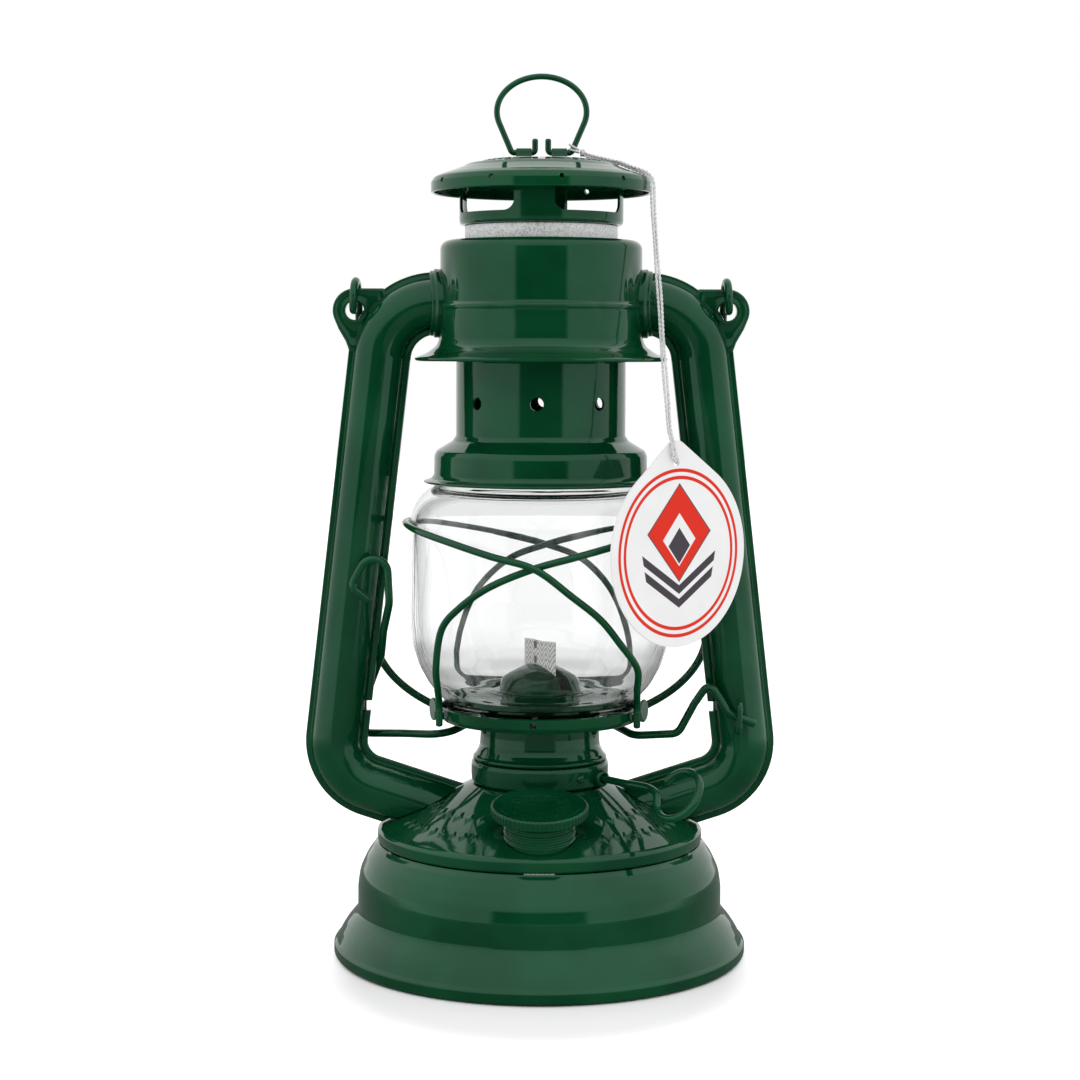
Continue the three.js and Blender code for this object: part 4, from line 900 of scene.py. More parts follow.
class LANTERN_OT_string_and_tag(bpy.types.Operator):
    """Twisted string, its knot and the printed tag"""

    bl_idname = "lantern.string_and_tag"
    bl_label = "String and tag"

    def execute(self, context):
        thread = material("string", yarn, "string")
        route = resampled(spline([STRING_START, *STRING_ROUTE, *STRING_END], 12), 0.22)
        string = piece("tag_string_twisted", self.plies(route), "hood_assembly", thread,
                       ("tag_string",))
        ties = [self.loop((12.2 + 0.25 * side, -0.25, 239.85), (0.25 * math.sin(0.8 * side), 0.8, 0),
                          (0.35 * math.cos(1.6 * side), 0, 0.75), 0.36) for side in (-1, 0, 1)]
        ties += [self.loop((38.45, -30.1, 151.3 - 0.7 * k), (0.55, 0.25 - 0.4 * k, 0.2), (0.1, 0.5, 0.15), 0.3)
                 for k in (0, 1)]
        knot = piece("string_knot_tied", ties, "hood_assembly", thread, ("string_knot",))
        loops = [self.loop((9.65, 0, 241.6), (1.35, 0, -0.75), (0.15, 1.25, 0), 0.34),
                 self.loop((9.6, 0, 240.5), (1.35, 0, -0.45), (0.15, 1.25, 0), 0.34)]
        piece("string_on_ring", loops, "pull_ring", thread)
        self.tag()
        return {"FINISHED"}

    def loop(self, centre, first, second, radius):
        """A closed loop of thread: centre + first cos a + second sin a."""
        a = np.linspace(0, 2 * np.pi, 48)[:, None]
        return wire(np.array(centre) + np.cos(a) * first + np.sin(a) * second, radius, 8)

    def plies(self, route):
        """Two strands that wind slowly about the route, each of two plies that wind fast about their strand."""
        tangent = unit(np.gradient(route, axis=0))
        beside = unit(np.cross(tangent, [0, -1.0, 0]))
        before = np.cross(tangent, beside)
        length = np.arange(len(route)) * np.linalg.norm(route[1] - route[0])
        gap = 0.36 + 0.14 * smooth(6, 40, length) * smooth(0, 20, length[-1] - length)

        def round_it(turn):
            return beside * np.cos(turn)[:, None] + before * np.sin(turn)[:, None]

        plies = []
        for strand in (0, np.pi):
            centre = route + round_it(0.7 * np.sin(length / 9) + strand) * gap[:, None]
            for ply in (0, np.pi):
                lay = round_it(length * 2 * np.pi / 2.6 + ply + strand / 2)
                plies.append(wire(centre + lay * 0.19, millimetres("cord") * 0.18, 8))
        return plies

    def tag(self):
        """The card's outline is a large arc below, a small one above and their common tangents."""
        big, small = TAG_WIDTH / 2, TAG_TOP_RADIUS
        low, high = -TAG_HEIGHT / 2 + big, TAG_HEIGHT / 2 - small
        lean = math.asin((big - small) / (high - low))
        a = np.linspace(lean, -math.pi - lean, 140)
        b = np.linspace(math.pi - lean, lean, 50)
        outline = np.vstack([
            np.stack([big * np.cos(a), low + big * np.sin(a)], -1),
            np.stack([small * np.cos(b), high + small * np.sin(b)], -1)])
        outline = resampled(np.vstack([outline, outline[:1]]), 0.8)[:-1]
        card = skin(slab(outline, (0, 0), -0.3, 0.3, 0.1))
        hole_height = TAG_HEIGHT / 2 - TAG_HOLE_DROP
        hole = drill(1.1, (0, -3, hole_height), (0, 3, hole_height), 40)
        for shell in (card, hole):
            placed(shell, turn_z(TAG_TURN) @ turn_y(TAG_TILT), TAG_CENTRE)
        paper = material("card", printed_card, "card", "print_red", "print_dark")
        return piece("tag_card", card, "hood_assembly", paper, ("tag",), cuts=[hole])


class LANTERN_OT_tank(bpy.types.Operator):
    """Base, tank bottom and tank top with its sunk filler seat and raised ornament"""

    bl_idname = "lantern.tank"
    bl_label = "Tank"

    def execute(self, context):
        foot = [
            (60.1, 0), (61.2, 0, 0.7), (61.9, 0.9, 0.9), (61.9, 3.4, 0.9), (60.95, 4.3, 0.5),
            (59.5, 7.0, 6), (58.0, 9.3, 8), (55.6, 12.2, 6), (54.7, 13.6, 4), (54.7, 20.5, 14),
            (54.0, 25.2, 10), (52.0, 29.4, 8), (50.0, 32.3, 2), (48.9, 33.2, 0.5), (48.5, 33.6)]
        pressing("base_pressing", rounded(foot, 2, 8), "frame", "tank_base")
        rim = WALL_RADIUS - SHEET - SEAT
        under = [(0, 5), (rim - 5, 5, 1.5), (rim - 1.2, 7.6, 1.5), (rim, 14, 1), (rim, 17)]
        pressing("bottom_plate", rounded(under, 1, 6), "frame", "tank_bottom")
        self.top()
        self.ornament()
        return {"FINISHED"}

    def top(self):
        """The rim, the cone in short steps and the neck of the tank's top, with the filler's hole."""
        line = rounded([
            (47.6, 33.9), (48.4, 33.9, 0.4), (48.8, 34.5, 0.4), (48.8, 37.1, 0.6), (48.1, 37.9, 0.5), CONE_LOW,
            (21.6, 50.55, 0.8), CONE_TOP, (16.6, 51)], 0.7, 5)
        first = np.argmax((line[:, 0] < 47.4) & (line[:, 0] > 21))
        last = np.argmax(line[:, 0] < 21.5)
        cone = resampled(np.array([line[first - 1], line[last]]), 0.42)
        line = np.vstack([line[:first - 1], cone, line[last + 1:]])
        top = skin(self.sink(lathe(sheet_loop(line), TOP_STEPS)), True)
        axis = np.array([0, -math.sin(FILLER_TILT), math.cos(FILLER_TILT)])
        foot = np.array([0, -FILLER_OUT, FILLER_HEIGHT])
        hole = drill(FILLER_HOLE, foot - axis * 8, foot + axis * 3, 64)
        enamelled("top_pressing", top, "frame", "tank_top", cuts=[hole])

    def sink(self, grid):
        """The cone is lowered round the filler to the plane square to the filler's axis, blended over a ring."""
        x, y, z = grid[..., 0], grid[..., 1], grid[..., 2]
        plane = FILLER_HEIGHT + 0.3 + math.tan(FILLER_TILT) * (y + FILLER_OUT)
        away = np.hypot(x, (y + FILLER_OUT) / math.cos(FILLER_TILT))
        drop = np.maximum(z - plane, 0) * (1 - smooth(11.8, 17.2, away))
        on_cone = (z > 36.5) & (np.hypot(x, y) < 47.6)
        lowered = grid.copy()
        lowered[..., 2] = z - np.where(on_cone, drop, 0)
        return lowered

    def ornament(self):
        """Raised lozenges in two rows on each side of the filler, on the cone's straight slope."""
        slope = (CONE_TOP[1] - CONE_LOW[1]) / (CONE_LOW[0] - CONE_TOP[0])
        u, v, inside = square(13)
        lift = 0.55 * smooth(0, 0.55, inside)
        marks = []
        for middle, spread, count, half in ((33.6, (30, 74), 7, 2.1), (41.2, (27, 70), 9, 1.75)):
            radius = middle + (u + v) / 2 * half * 1.25
            cone = CONE_LOW[1] + (CONE_LOW[0] - radius) * slope
            for side in (-1, 1):
                for degrees in np.linspace(*spread, count):
                    angle = math.radians(degrees) * side
                    marks.append(raised(angle, radius, (u - v) / 2 * half * 0.8, cone, lift, 0.35))
        enamelled("top_ornament", marks, "frame")


def at_filler(shell):
    """What was made upright at the origin, leaned forward on the filler's axis."""
    return placed(shell, turn_x(FILLER_TILT), (0, -FILLER_OUT, FILLER_HEIGHT))


class LANTERN_OT_filler(bpy.types.Operator):
    """Ridged filler neck, seal and ribbed cap"""

    bl_idname = "lantern.filler"
    bl_label = "Filler"

    def execute(self, context):
        self.neck()
        seal = solid_turned([(0, 8.3), (9.6, 8.3), (9.9, 8.4), (9.9, 8.8), (9.6, 8.9), (0, 8.9)])
        piece("seal_disc", at_filler(seal), "filler_seal", material("rubber", rubber), ("filler_seal",))
        self.cap(steps("ribs"))
        return {"FINISHED"}

    def neck(self):
        """The thread's ridges are plain rings: the radius plus 0.45 times an eased cosine of the height."""
        bore = NECK_RADIUS - NECK_WALL
        z = np.linspace(0.1, 7.3, 110)
        ridge = NECK_RADIUS + 0.45 * smooth(0.25, 0.95, 0.5 + 0.5 * np.cos((z - 6.8) * 2 * np.pi / 1.6))
        loop = np.vstack([
            [(bore, -3.4), (NECK_RADIUS, -3.4), (NECK_RADIUS, -0.1)], np.stack([ridge, z], -1),
            [(NECK_RADIUS, 7.6), (NECK_RADIUS - 0.3, 8.0), (bore + 0.2, 8.0), (bore, 7.8)]])
        enamelled("neck_ridged", at_filler(solid_turned(loop, 120)), "frame", "filler_neck")

    def cap(self, ribs):
        """The skirt's radius grows by 0.3 times an eased cosine of its ribs times the angle, and a ring of
        petals rises from the top by 0.22 times an eased cosine of their count times the angle."""
        outer = rounded([(10.9, 6.7), (13.0, 6.7, 0.4), (13.7, 7.3, 0.5), (13.75, 9.6, 0.5), (13.3, 10.05, 0.5),
                         (11.9, 9.95, 0.6), (10.5, 9.35, 1.2), (6.8, 9.55, 2), (0, 9.75)], 0.5, 5)
        outer = np.vstack([outer[:4], resampled(outer[3:], 0.3)]) + [0, 0.05]
        inner = np.array([(0, 9.2), (CAP_BORE - 0.3, 9.2), (CAP_BORE, 8.9), (CAP_BORE, 6.9)])
        loop = np.vstack([inner, outer])
        is_outer = np.arange(len(loop)) >= len(inner)
        grid = lathe(loop, ribs * 10)
        angle = np.linspace(0, 2 * np.pi, ribs * 10, endpoint=False)
        wave = smooth(0.15, 0.85, 0.5 + 0.5 * np.cos(angle * ribs))
        radius = np.hypot(grid[..., 0], grid[..., 1])
        on_skirt = smooth(13.1, 13.65, loop[:, 0]) * is_outer
        grow = 1 + (on_skirt[:, None] * (0.30 * wave[None, :])) / np.maximum(radius, 1)
        grid[..., :2] *= grow[..., None]
        ring = smooth(5.2, 5.9, radius) * (1 - smooth(8.3, 9.0, radius))
        petals = ring * smooth(0.2, 0.8, 0.5 + 0.5 * np.cos(angle * CAP_PETALS))[None, :]
        on_top = is_outer[:, None] & (grid[..., 2] > 9)
        grid[..., 2] += np.where(on_top, 0.22 * petals, 0)
        enamelled("cap_ribbed", at_filler(skin(grid)), "filler_cap", "filler_cap")


def spindle_axes():
    """The spindle's direction, outwards, and the level direction square to it."""
    return outward(WICK_AZIMUTH), np.array([math.cos(WICK_AZIMUTH), math.sin(WICK_AZIMUTH), 0])


def along_spindle(distance):
    """The point of the spindle's axis at a distance outwards."""
    out, across = spindle_axes()
    return out * distance + across * SPINDLE_SIDE + [0, 0, SPINDLE_HEIGHT]


class LANTERN_OT_burner(bpy.types.Operator):
    """Burner socket, neck, deck, dome, wick with its tube, wheels and knob"""

    bl_idname = "lantern.burner"
    bl_label = "Burner"

    def execute(self, context):
        socket = [(17.4, 51.3), (19.9, 51.3, 0.5), (20.5, 52.0, 0.8), (20.65, 54, 4), (20.65, 56.9, 1),
                  (20.3, 58.0, 0.5), (19.05, 58.1)]
        bore = drill(1.6, along_spindle(12), along_spindle(26), 24)
        pressing("socket_ring", rounded(socket, 0.5, 5), "frame", "burner_socket", cuts=[bore])
        neck = [(19.6, 58.4), (20.05, 58.45, 0.3), (20.1, 59.2, 0.6), (19.3, 60.0, 1.2), (18.1, 62.2, 6),
                (17.9, 66, 6), (17.9, 77.1)]
        pressing("burner_cone", rounded(neck, 1, 6), "frame", "burner_neck")
        self.deck()
        self.dome()
        self.wick()
        self.rivet()
        self.knob()
        return {"FINISHED"}

    def deck(self):
        """A plate with twelve round holes near the dome and twelve slots near its edge."""
        deck = [(25, 76.75), (25, 77.8, 0.4), (24.6, 78.0, 0.3), (22.6, 78.05, 0.4), (22.0, 77.7, 0.4),
                (16.6, 77.75, 0.4), (16.0, 78.2, 0.4), (9.8, DECK_HEIGHT)]
        holes = []
        for k in range(DECK_HOLES):
            angle = 2 * math.pi * k / DECK_HOLES
            x, y = 14.2 * math.cos(angle), 14.2 * math.sin(angle)
            holes.append(drill(0.95, (x, y, 75), (x, y, 80), 16))
            holes.append(placed(box_cutter((-2.1, -21.3, 75), (2.1, -19.7, 80)), turn_z(angle + 0.2)))
        pressing("deck_pressing", rounded(deck, 0.3, 4), "frame", "burner_deck", cuts=holes,
                 thickness=SHEET * 0.85)

    def dome(self):
        """A flat lip, then a quarter of an ellipse that rises to the axis, with the wick's slot."""
        a = np.linspace(0, np.pi / 2, 26)
        rise = np.stack([DOME_RADIUS * np.cos(a), DECK_HEIGHT + 0.9 + DOME_RISE * np.sin(a)], -1)
        rise[-1, 0] = 0
        lip = [(DOME_RADIUS + 1.1, DECK_HEIGHT + 0.3), (DOME_RADIUS + 0.5, DECK_HEIGHT + 0.35)]
        slot = placed(box_cutter((-12.9, -1.9, 80.3), (12.9, 1.9, 92)), turn_z(WICK_AZIMUTH - math.pi / 2))
        pressing("burner_dome_slotted", np.vstack([lip, rise]), "frame", "burner_dome", cuts=[slot],
                 thickness=SHEET * 0.8)

    def wick(self):
        """A flat section with round edges, whose faces wave by the product of two crossed cosines."""
        z = np.linspace(17, 93.6, 240)[:, None]
        a = np.linspace(0, 2 * np.pi, 96, endpoint=False)
        x = 7.0 * np.sign(np.cos(a)) * abs(np.cos(a)) ** 0.32
        y = 0.8 * np.sign(np.sin(a)) * abs(np.sin(a)) ** 0.7
        grid = np.stack([x + 0 * z, y + 0 * z, z + 0 * a], -1)
        weave = 0.09 * np.cos((x * 1.7 + z) * 2 * np.pi / 1.7) * np.cos((z - x * 1.7) * 2 * np.pi / 1.7)
        grid[..., 1] += weave * np.sign(y)
        grid[-1, :, 2] += 0.35 * np.sin(a * 17) * np.cos(a * 5)
        low, high = (row.mean(1, keepdims=True) + 0 * row for row in (grid[:1], grid[-1:]))
        cloth = placed(skin(np.vstack([low, grid, high])), turn_z(WICK_AZIMUTH - math.pi / 2))
        piece("wick_woven", cloth, "wick", material("cotton", cotton, "cotton"), ("wick",))
        for name, metal in (("wick_tube", "brass"), ("wick_wheel_1", "steel"), ("wick_wheel_2", "steel")):
            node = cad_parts[name]
            node.data.materials.clear()
            node.data.materials.append(material(metal, bare_metal, metal))

    def rivet(self):
        """A low round head on the socket, turned upright and laid outwards."""
        head = [(0, 20.6), (1.3, 20.6), (1.3, 20.95, 0.3), (0.9, 21.45, 0.5), (0, 21.6)]
        rivet = solid_turned(rounded(head, 0.3, 5), 32)
        placed(rivet, facing(outward(RIVET_AZIMUTH)), (0, 0, RIVET_HEIGHT))
        enamelled("rivet_head", rivet, "frame", "burner_rivet")

    def knob(self):
        """The spindle's wire, bent at its outer end into a round finger loop, and the collar round it."""
        out, across = spindle_axes()
        up = np.array([0, 0, math.cos(KNOB_TILT)]) + across * math.sin(KNOB_TILT)
        turn = np.radians(np.linspace(205, 515, 60))[:, None]
        loop = along_spindle(KNOB_REACH) + KNOB_RADIUS * (np.cos(turn) * out + np.sin(turn) * up)
        straight = [along_spindle(distance) for distance in (-5.8, 10, 30, 43.2)]
        bend = along_spindle(46.2) + up * -1.4
        path = resampled(spline(np.vstack([straight, [bend], loop[3:]]), 12), 0.5)
        bent_wire("knob_wire", path, KNOB_WIRE, "wick_knob", "wick_knob")
        section = [(1.6, -0.2), (2.5, -0.2, 0.3), (2.5, 1.9, 0.4), (2.0, 2.4, 0.3), (1.6, 2.4)]
        socket = math.sqrt(SOCKET_RADIUS**2 - SPINDLE_SIDE**2)
        collar = placed(solid_turned(rounded(section, 0.2, 4), 40), facing(out), along_spindle(socket + 0.35))
        enamelled("spindle_collar", collar, "frame", "spindle_bush")


class LANTERN_OT_globe(bpy.types.Operator):
    """Glass globe, its plate, the wire guard and its clips"""

    bl_idname = "lantern.globe"
    bl_label = "Globe"

    def execute(self, context):
        plate = [(19.4, 70.9), (27.4, 70.0, 0.6), (29.2, 70.2, 1.2), (30.2, 71.6, 1.0), (PLATE_RADIUS, 74.3)]
        drain = drill(1.0, (-2, -34, 72.7), (-2, -27, 72.7), 24)
        pressing("plate_pressing", rounded(plate, 1, 6), "globe_carrier", "globe_plate", cuts=[drain])
        self.glass()
        self.guard()
        self.clips()
        return {"FINISHED"}

    def glass(self):
        """The globe's outer line, whose shoulder is part of an ellipse; the wall lies inside it."""
        body = rounded([
            (GLASS_FOOT, 71.4), (GLASS_FOOT, 75.0, 3), (29.2, 76.6, 4), (33.4, 81.3, 14), (36.4, 86.7, 18),
            (38.5, 93.4, 22), (GLASS_RADIUS, 100.5, 30), (GLASS_RADIUS, GLASS_SHOULDER)], 10, 10)
        bend = np.radians(np.linspace(3, 74, 26))
        shoulder = np.stack([28.2 + 11.0 * np.cos(bend), GLASS_SHOULDER + 12.5 * np.sin(bend)], -1)
        line = np.vstack([body, shoulder, rounded([(30.9, 140.9), (30.5, 141.4, 0.5), (30.5, 145.0)])])
        globe = turned(resampled(line, 0.9), millimetres("glass_wall"), steps("sides"))
        piece("globe_glass", globe, "globe_carrier", material("glass", clear_glass), ("glass_globe",),
              sharp=60)

    def guard(self):
        """The wire's route is that of the frame: half a route and its mirror image with a wider crossing."""
        near, over = 40.6, 43.0
        back = GLASS_FOOT + 2.5

        def at(degrees, height, r=near):
            angle = math.radians(degrees)
            return (r * math.sin(angle), -r * math.cos(angle), height)

        def half(crossing, arch):
            mid = (near + crossing) / 2
            x, y = -GUARD_FOOT_X, GUARD_FOOT_Y
            return [(x, y, 70.4), (x, y, 73.2), (x, y, 76), (x, y - 1.4, 78), (x, y - 6.2, 82.2),
                    (x, y - 11.6, 89), at(*arch[0]), at(*arch[1]), at(*arch[2], mid), at(0, 119.3, crossing),
                    at(17, 122.5, mid), at(35, 125.4), at(62, 128.4), at(90, 129.4), at(118, 128.4),
                    at(145, 125.4), at(163, 122.5, mid), at(180, 119.3, crossing), at(197, 114.9, mid),
                    at(213, 105.5), at(221, 94, near + 0.8), (-29.2, back + 0.4, 82.8), (-28.2, back, 77.4),
                    (-26.4, back, 75.8), (-19.4, back, 75.8)]

        left = half(near, ((-42, 100.8), (-33, 107), (-19, 113.6)))
        right = [(-x, y, z) for x, y, z in half(over, ((-36, 97.5), (-27.5, 104.2), (-14.5, 111.4)))][::-1]
        path = resampled(spline(left + right, 14), 0.7) @ turn_z(GUARD_TURN).T
        bent_wire("guard_wire", path, millimetres("guard_wire"), "globe_carrier", "wire_guard")

    def clips(self):
        """A clip is a round leaf that faces outwards behind the wire's foot, and a short roll round the wire."""
        a = np.linspace(0, 2 * np.pi, 48, endpoint=False)
        section = ((1.1, 72.0), (1.4, 72.0), (1.5, 72.1), (1.5, 74.1), (1.4, 74.2), (1.1, 74.2))
        for side, word in zip((-1, 1), SIDES):
            foot = turn_z(GUARD_TURN) @ np.array([side * GUARD_FOOT_X, GUARD_FOOT_Y, 0])
            roll = [np.stack([foot[0] + r * np.cos(a), foot[1] + r * np.sin(a), z + 0 * a], -1)
                    for r, z in section]
            oval = np.stack([3.3 * np.cos(a), 74.7 + 3.4 * np.sin(a)], -1)
            disc = skin(slab(oval, (0, 74.7), -33.9, -33.2, 0.2))
            leaf = placed(disc, turn_z(math.atan2(foot[0], -foot[1]) + side * 0.095))
            enamelled(f"clip_{word}", [skin(np.array(roll), True), leaf], "globe_carrier", f"{word}_guard_clip")


class LANTERN_OT_chimney(bpy.types.Operator):
    """Chimney with its shoulder and holes, guide collar, spring and drum"""

    bl_idname = "lantern.chimney"
    bl_label = "Chimney and drum"

    def execute(self, context):
        line = [
            (34.6, 141.35), (35.2, 141.6, 0.3), (35.2, 142.1, 0.3), (33.0, 142.7, 1.2), (32.1, 143.9, 1.5),
            (31.9, 149.6, 2), (31.2, 151.1, 1.2), (29.4, 152.2, 2), (26.4, 154.0, 2), (25.4, 155.6, 1.2),
            (25.4, 191.5, 0.6), (24.8, 192.1, 0.4), (21.5, 192.1)]
        holes = []
        for k in range(CHIMNEY_HOLES):
            out, up = outward(CHIMNEY_TURN + 2 * math.pi * k / CHIMNEY_HOLES), [0, 0, CHIMNEY_HOLE_HEIGHT]
            holes.append(drill(CHIMNEY_HOLE_RADIUS, out * 21 + up, out * 29 + up, 40))
        pressing("chimney_pressing", rounded(line, 1, 6), "hood_assembly", "chimney", cuts=holes)
        collar = turned(resampled([(COLLAR_RADIUS, 192.4), (COLLAR_RADIUS, 217.9)], 1.5), SHEET, steps("sides"))
        piece("guide_collar", collar, "hood_assembly", material("zinc", zinc, "zinc"), ("hood_collar",))
        self.drum()
        self.spring()
        return {"FINISHED"}

    def drum(self):
        """The drum's line has a rolled flare, a bead and a round shoulder; shallow dents are Gaussian dips."""
        line = rounded([
            (37.4, 177.75), (37.9, 178.1, 0.3), (37.9, 178.8, 0.4), (34.2, 180.2, 9), (31.3, 182.4, 4),
            (30.6, 184.2, 2), (30.6, 193.0, 0.5), (31.0, 193.6, 0.5), (31.0, 194.4, 0.5), (30.2, 195.1, 0.6),
            (DRUM_RADIUS, 213.7, 2.7), (23.4, 213.7)], 1, 8)
        shell = turned(resampled(line, 0.4), SHEET, DRUM_STEPS)
        p = shell.points
        angle = np.degrees(np.arctan2(p[:, 0], -p[:, 1]))
        for where, height, depth, wide, high in ((-62, 199.4, 0.45, 6, 5.5), (63, 199.4, 0.45, 6, 5.5),
                                                 (-28, 192.4, 0.35, 3.2, 1.4), (33, 193.4, 0.35, 3, 1.4)):
            dip = depth * np.exp(-(((angle - where) / wide) ** 2) - ((p[:, 2] - height) / high) ** 2)
            p[:, :2] *= (1 - dip / np.maximum(np.hypot(p[:, 0], p[:, 1]), 1))[:, None]
        ports = [drill(6.6, (x, 0, ARM_HEIGHT), (x + 15, 0, ARM_HEIGHT), 40) for x in (-40, 25)]
        enamelled("drum_pressing", shell, "frame", "drum", cuts=ports)

    def spring(self):
        """Three turns of a helix, which the chimney squashes against the drum's top as it rises."""
        turn = np.linspace(0, 3 * 2 * np.pi, 200)
        coil = np.stack([SPRING_RADIUS * np.cos(turn), SPRING_RADIUS * np.sin(turn),
                         np.linspace(*SPRING_ENDS, 200)], -1)
        spring = piece("spring_coil", wire(coil, 0.8, 12), "frame", material("steel", bare_metal, "steel"),
                       ("hood_spring",))
        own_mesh(spring)


class LANTERN_OT_hood(bpy.types.Operator):
    """Hood with its vent holes and raised ornament, cage, lugs and pull ring"""

    bl_idname = "lantern.hood"
    bl_label = "Hood"

    def execute(self, context):
        line = [(32.5, 227.75), (33.0, 228.0, 0.3), (33.0, 230.8, 1.2), (32.2, 232.3, 1.6), (30.2, 233.2, 3),
                (27.8, 234.0, 4), (24.0, 235.4, 3), (22.4, 236.3, 2), (12, 237.8, 10), (0, 238.4)]
        holes = []
        for k in range(HOOD_VENTS):
            x, y = (outward(VENT_TURN + 2 * math.pi * k / HOOD_VENTS) * VENT_RING)[:2]
            holes.append(drill(VENT_RADIUS, (x * 0.97, y * 0.97, 229.3), (x * 1.16, y * 1.16, 232.0), 20))
        pressing("hood_pressing", rounded(line, 2, 8), "hood_assembly", "hood", cuts=holes)
        self.ornament()
        self.cage()
        self.lugs()
        self.ring()
        return {"FINISHED"}

    def ornament(self):
        """Raised bars between two radii of the hood's top, apart from those behind and before the ring."""
        u, v, inside = square(9)
        radius = 16.6 + u * 2.5
        sheet = np.interp(radius, [12, 22.4], [237.75, 236.2])
        angles = [2 * math.pi * (k + 0.5) / HOOD_BARS for k in range(HOOD_BARS)]
        bars = [raised(a, radius, v * 0.5, sheet, 0.4 * smooth(0, 0.6, inside), 0.3)
                for a in angles if abs(math.cos(a)) <= 0.9]
        enamelled("hood_ornament", bars, "hood_assembly")

    def cage(self):
        """A ring with four legs: windows with round lower corners are cut through its wall."""
        line = [(23.4, 218.2), (23.9, 218.2, 0.3), (24.45, 219.0, 0.8), (24.5, 220, 1), (24.5, 233.9)]
        half, sill, head = 12.6, 221.6, 236
        window = rounded([(0, head), (-half, head), (-half, sill, 3), (half, sill, 3), (half, head),
                          (0.0001, head)], 0.01, 8)[:-1]
        knives = [placed(skin(slab(window, (0, 229), -30, -14, NO_BEVEL)), turn_z(math.radians(40 + 90 * k)))
                  for k in range(4)]
        pressing("hood_cage_legs", resampled(rounded(line, 0.5, 5), 0.6), "hood_assembly", "hood_cage",
                 cuts=knives)

    def lugs(self):
        """A lug is a strip rolled over the ring's wire: a round top, flat cheeks and a foot on the hood."""
        outline = rounded([(-3.2, 238.65), (-1.9, 239.1, 0.6), (-1.7, 241.2, 1.5), (1.7, 241.2, 1.5),
                           (1.9, 239.1, 0.6), (3.2, 238.65), (0, 238.62)], 0.5, 8)
        for name, low, high in (("left", -7.6, -3.0), ("right", 3.0, 7.6)):
            body = skin(slab(outline, (0, 240), low, high, 0.2)[..., [1, 0, 2]])
            bore = drill(1.05, (low - 1, 0, RING_PIVOT), (high + 1, 0, RING_PIVOT), 24)
            enamelled(f"lug_{name}_rolled", body, "hood_assembly", f"{name}_lug", cuts=[bore])

    def ring(self):
        """Part of an ellipse above, and two feet that turn inwards through the lugs and up."""
        a = np.linspace(math.radians(-20), math.radians(200), 120)
        crown = np.stack([RING_HALF_WIDTH * np.cos(a), 0 * a, RING_CENTRE + RING_HALF_HEIGHT * np.sin(a)], -1)
        foot = rounded([(1.95, 0, 243.6), (1.95, 0, RING_PIVOT, 1.0), (8.9, 0, RING_PIVOT, 1.25),
                        tuple(crown[0])], 1.3, 10)
        path = resampled(np.vstack([foot, crown[1:-1], foot[::-1] * [-1, 1, 1]]), 0.4)
        bent_wire("ring_wire", path, millimetres("ring_wire"), "pull_ring", "pull_ring")


